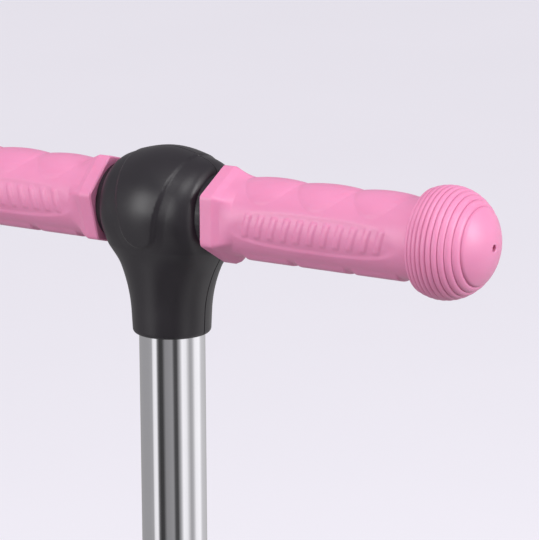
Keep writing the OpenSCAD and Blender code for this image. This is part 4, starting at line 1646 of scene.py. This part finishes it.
@dataclass
class Studio:
    """Pale floor and surround, softboxes, and the camera."""

    aim: tuple[float, float, float] = (33.5, 15.0, -25.1)
    distance: float = 870.05
    azimuth: float = 34.25
    elevation: float = 16.91
    roll: float = -3.05
    lens: float = 152.9
    surround: str = "E7E4E9"
    light_above: float = 0.8
    light_below: float = 0.5

    def away(self, azimuth: float, elevation: float) -> Vector:
        """Direction from the object towards a place that the camera's side is measured from."""
        a, e = math.radians(azimuth), math.radians(elevation)
        return Vector((math.sin(a) * math.cos(e), -math.cos(a) * math.cos(e), math.sin(e)))

    def camera(self) -> None:
        """Stands the camera in front of the handlebar, to the rider's left."""
        data = bpy.data.cameras.new("camera")
        data.lens, data.sensor_width = self.lens, 36.0
        data.clip_start, data.clip_end = 0.01, 100.0
        made = bpy.data.objects.new("camera", data)
        bpy.context.scene.collection.objects.link(made)
        back = self.away(self.azimuth, self.elevation)
        target = T_JOINT.translation + Vector(self.aim) * MM
        turn = (-back).to_track_quat("-Z", "Y").to_matrix().to_4x4()
        made.matrix_world = (Matrix.Translation(target + back * self.distance * MM) @ turn
                             @ Matrix.Rotation(math.radians(self.roll), 4, "Z"))
        bpy.context.scene.camera = made

    def floor(self) -> None:
        """Lays a round sheet of paper under the wheels."""
        bm = bmesh.new()
        bmesh.ops.create_circle(bm, cap_ends=True, segments=96, radius=9000)
        moved(bm, WORLD)
        sheet = shape_object(bm, "floor")
        sheet.data.materials.append(FLOOR_PAPER.material())
        sheet.visible_glossy = False
        sheet.visible_diffuse = False

    def softbox(self, name: str, azimuth: float, elevation: float, distance: float,
                size: tuple[float, float], power: float) -> None:
        """Hangs a softbox that faces the T-joint.

        Args:
            name: the light's name.
            azimuth: degrees to the right of the camera.
            elevation: degrees above the horizon.
            distance: metres from the T-joint.
            size: width and height in metres.
            power: watts.
        """
        data = bpy.data.lights.new(name, "AREA")
        data.shape, data.size, data.size_y, data.energy = "RECTANGLE", *size, power
        made = bpy.data.objects.new(name, data)
        bpy.context.scene.collection.objects.link(made)
        back = self.away(self.azimuth + azimuth, elevation)
        made.matrix_world = (Matrix.Translation(T_JOINT.translation + back * distance)
                             @ (-back).to_track_quat("-Z", "Y").to_matrix().to_4x4())
        made.visible_camera = False

    def surroundings(self) -> None:
        """Even pale light, with upright panels that only polished parts mirror."""
        world = bpy.data.worlds.new("studio")
        bpy.context.scene.world = world
        world.use_nodes = True
        tree = world.node_tree
        tree.nodes.clear()
        where = add_node(tree, "ShaderNodeTexCoord").outputs["Generated"]
        turned_to_camera = add_node(tree, "ShaderNodeMapping", {
            "Vector": where, "Rotation": (0, 0, -math.radians(self.azimuth))}, vector_type="POINT")
        split = add_node(tree, "ShaderNodeSeparateXYZ", {"Vector": turned_to_camera.outputs[0]})
        backwards = add_node(tree, "ShaderNodeMath", {0: split.outputs["Y"], 1: -1.0}, operation="MULTIPLY")
        angle = add_node(tree, "ShaderNodeMath", {
            0: split.outputs["X"], 1: backwards.outputs[0]}, operation="ARCTAN2")
        share = add_node(tree, "ShaderNodeMapRange", {
            "Value": angle.outputs[0], "From Min": -math.pi, "From Max": math.pi})
        panels = add_node(tree, "ShaderNodeValToRGB", {"Fac": share.outputs["Result"]})
        self.hang_panels(panels.color_ramp)
        height = add_node(tree, "ShaderNodeMapRange", {
            "Value": split.outputs["Z"], "From Min": 0.0, "From Max": 0.25})
        above = add_node(tree, "ShaderNodeMix", {
            0: height.outputs["Result"], 6: panels.outputs["Color"], 7: (0.36, 0.35, 0.37, 1)},
            data_type="RGBA")
        path = add_node(tree, "ShaderNodeLightPath")
        sky = add_node(tree, "ShaderNodeMapRange", {
            "Value": split.outputs["Z"], "From Min": -0.5, "From Max": 0.6,
            "To Min": self.light_below, "To Max": self.light_above}, interpolation_type="SMOOTHSTEP")
        soft = add_node(tree, "ShaderNodeMix", {
            0: path.outputs["Is Diffuse Ray"], 6: linear(self.surround), 7: sky.outputs["Result"]},
            data_type="RGBA")
        seen = add_node(tree, "ShaderNodeMix", {
            0: path.outputs["Is Glossy Ray"], 6: soft.outputs[2], 7: above.outputs[2]}, data_type="RGBA")
        light = add_node(tree, "ShaderNodeBackground", {"Color": seen.outputs[2], "Strength": 1.0})
        add_node(tree, "ShaderNodeOutputWorld", {"Surface": light.outputs[0]})

    @staticmethod
    def hang_panels(ramp: bpy.types.ColorRamp) -> None:
        """Sets the brightness of the mirrored panels by degrees to the right of the camera.

        Args:
            ramp: ramp that runs once round the stage.
        """
        panels = ((-180, 0.42), (-90, 0.45), (-75, 0.5), (-69, 1.15), (-58, 1.25), (-51, 0.2), (-44, 0.06),
                  (-34, 0.07), (-24, 0.34), (-1, 0.4), (6, 0.1), (15, 0.08), (26, 0.6), (34, 1.3), (47, 1.2),
                  (56, 0.75), (63, 0.5), (72, 0.6), (84, 1.25), (104, 1.35), (118, 0.8), (150, 0.65),
                  (180, 0.42))
        ramp.interpolation = "LINEAR"
        while len(ramp.elements) < len(panels):
            ramp.elements.new(0.5)
        for element, (degrees, _) in zip(ramp.elements, panels):
            element.position = (degrees + 180) / 360
        for element, (_, level) in zip(ramp.elements, panels):
            element.color = (level, level * 0.985, level, 1)

    def build(self) -> None:
        """Sets the whole stage."""
        bpy.context.scene.view_settings.view_transform = "Standard"
        self.camera()
        self.floor()
        self.surroundings()
        self.softbox("overhead softbox", 5, 62, 1.1, (0.8, 0.5), 6.0)
        self.softbox("left softbox", -59, 16, 1.0, (0.4, 0.6), 4.8)
        self.softbox("right softbox", 62, 18, 1.2, (0.4, 0.5), 10.0)


@dataclass
class RearAxle:
    """Through bolt of the rear wheel, with its nut and spacers."""

    nodes: tuple[str, ...] = ("rear_axle", "rear_axle_nut", "rear_spacers")
    edge: float = 0.3

    def build(self) -> None:
        """Finishes each part."""
        for node in self.nodes:
            refined(node, ZINC_SCREW, self.edge)


def main() -> None:
    """Builds the studio and every sub-assembly."""
    logging.basicConfig(level=logging.INFO, format="%(message)s")
    Studio().build()
    Grip(Side.LEFT).build()
    Grip(Side.RIGHT, flange_turn=15.0).build()
    TJoint().build()
    Column().build()
    Housing().build()
    Truck().build()
    for side in Side:
        word = side.word
        Wheel(f"front_{word}", f"front_wheel_{word}_spin", side, f"front_tyre_{word}", f"front_hub_{word}",
              f"front_bearings_{word}", spokes=6).build()
        HubCap(side).build()
    Wheel("rear", "rear_wheel_spin", Side.LEFT, "rear_tyre", "rear_hub", "rear_bearings", spokes=5).build()
    Deck().build()
    Brake().build()
    RearAxle().build()


if __name__ == "__main__":
    main()
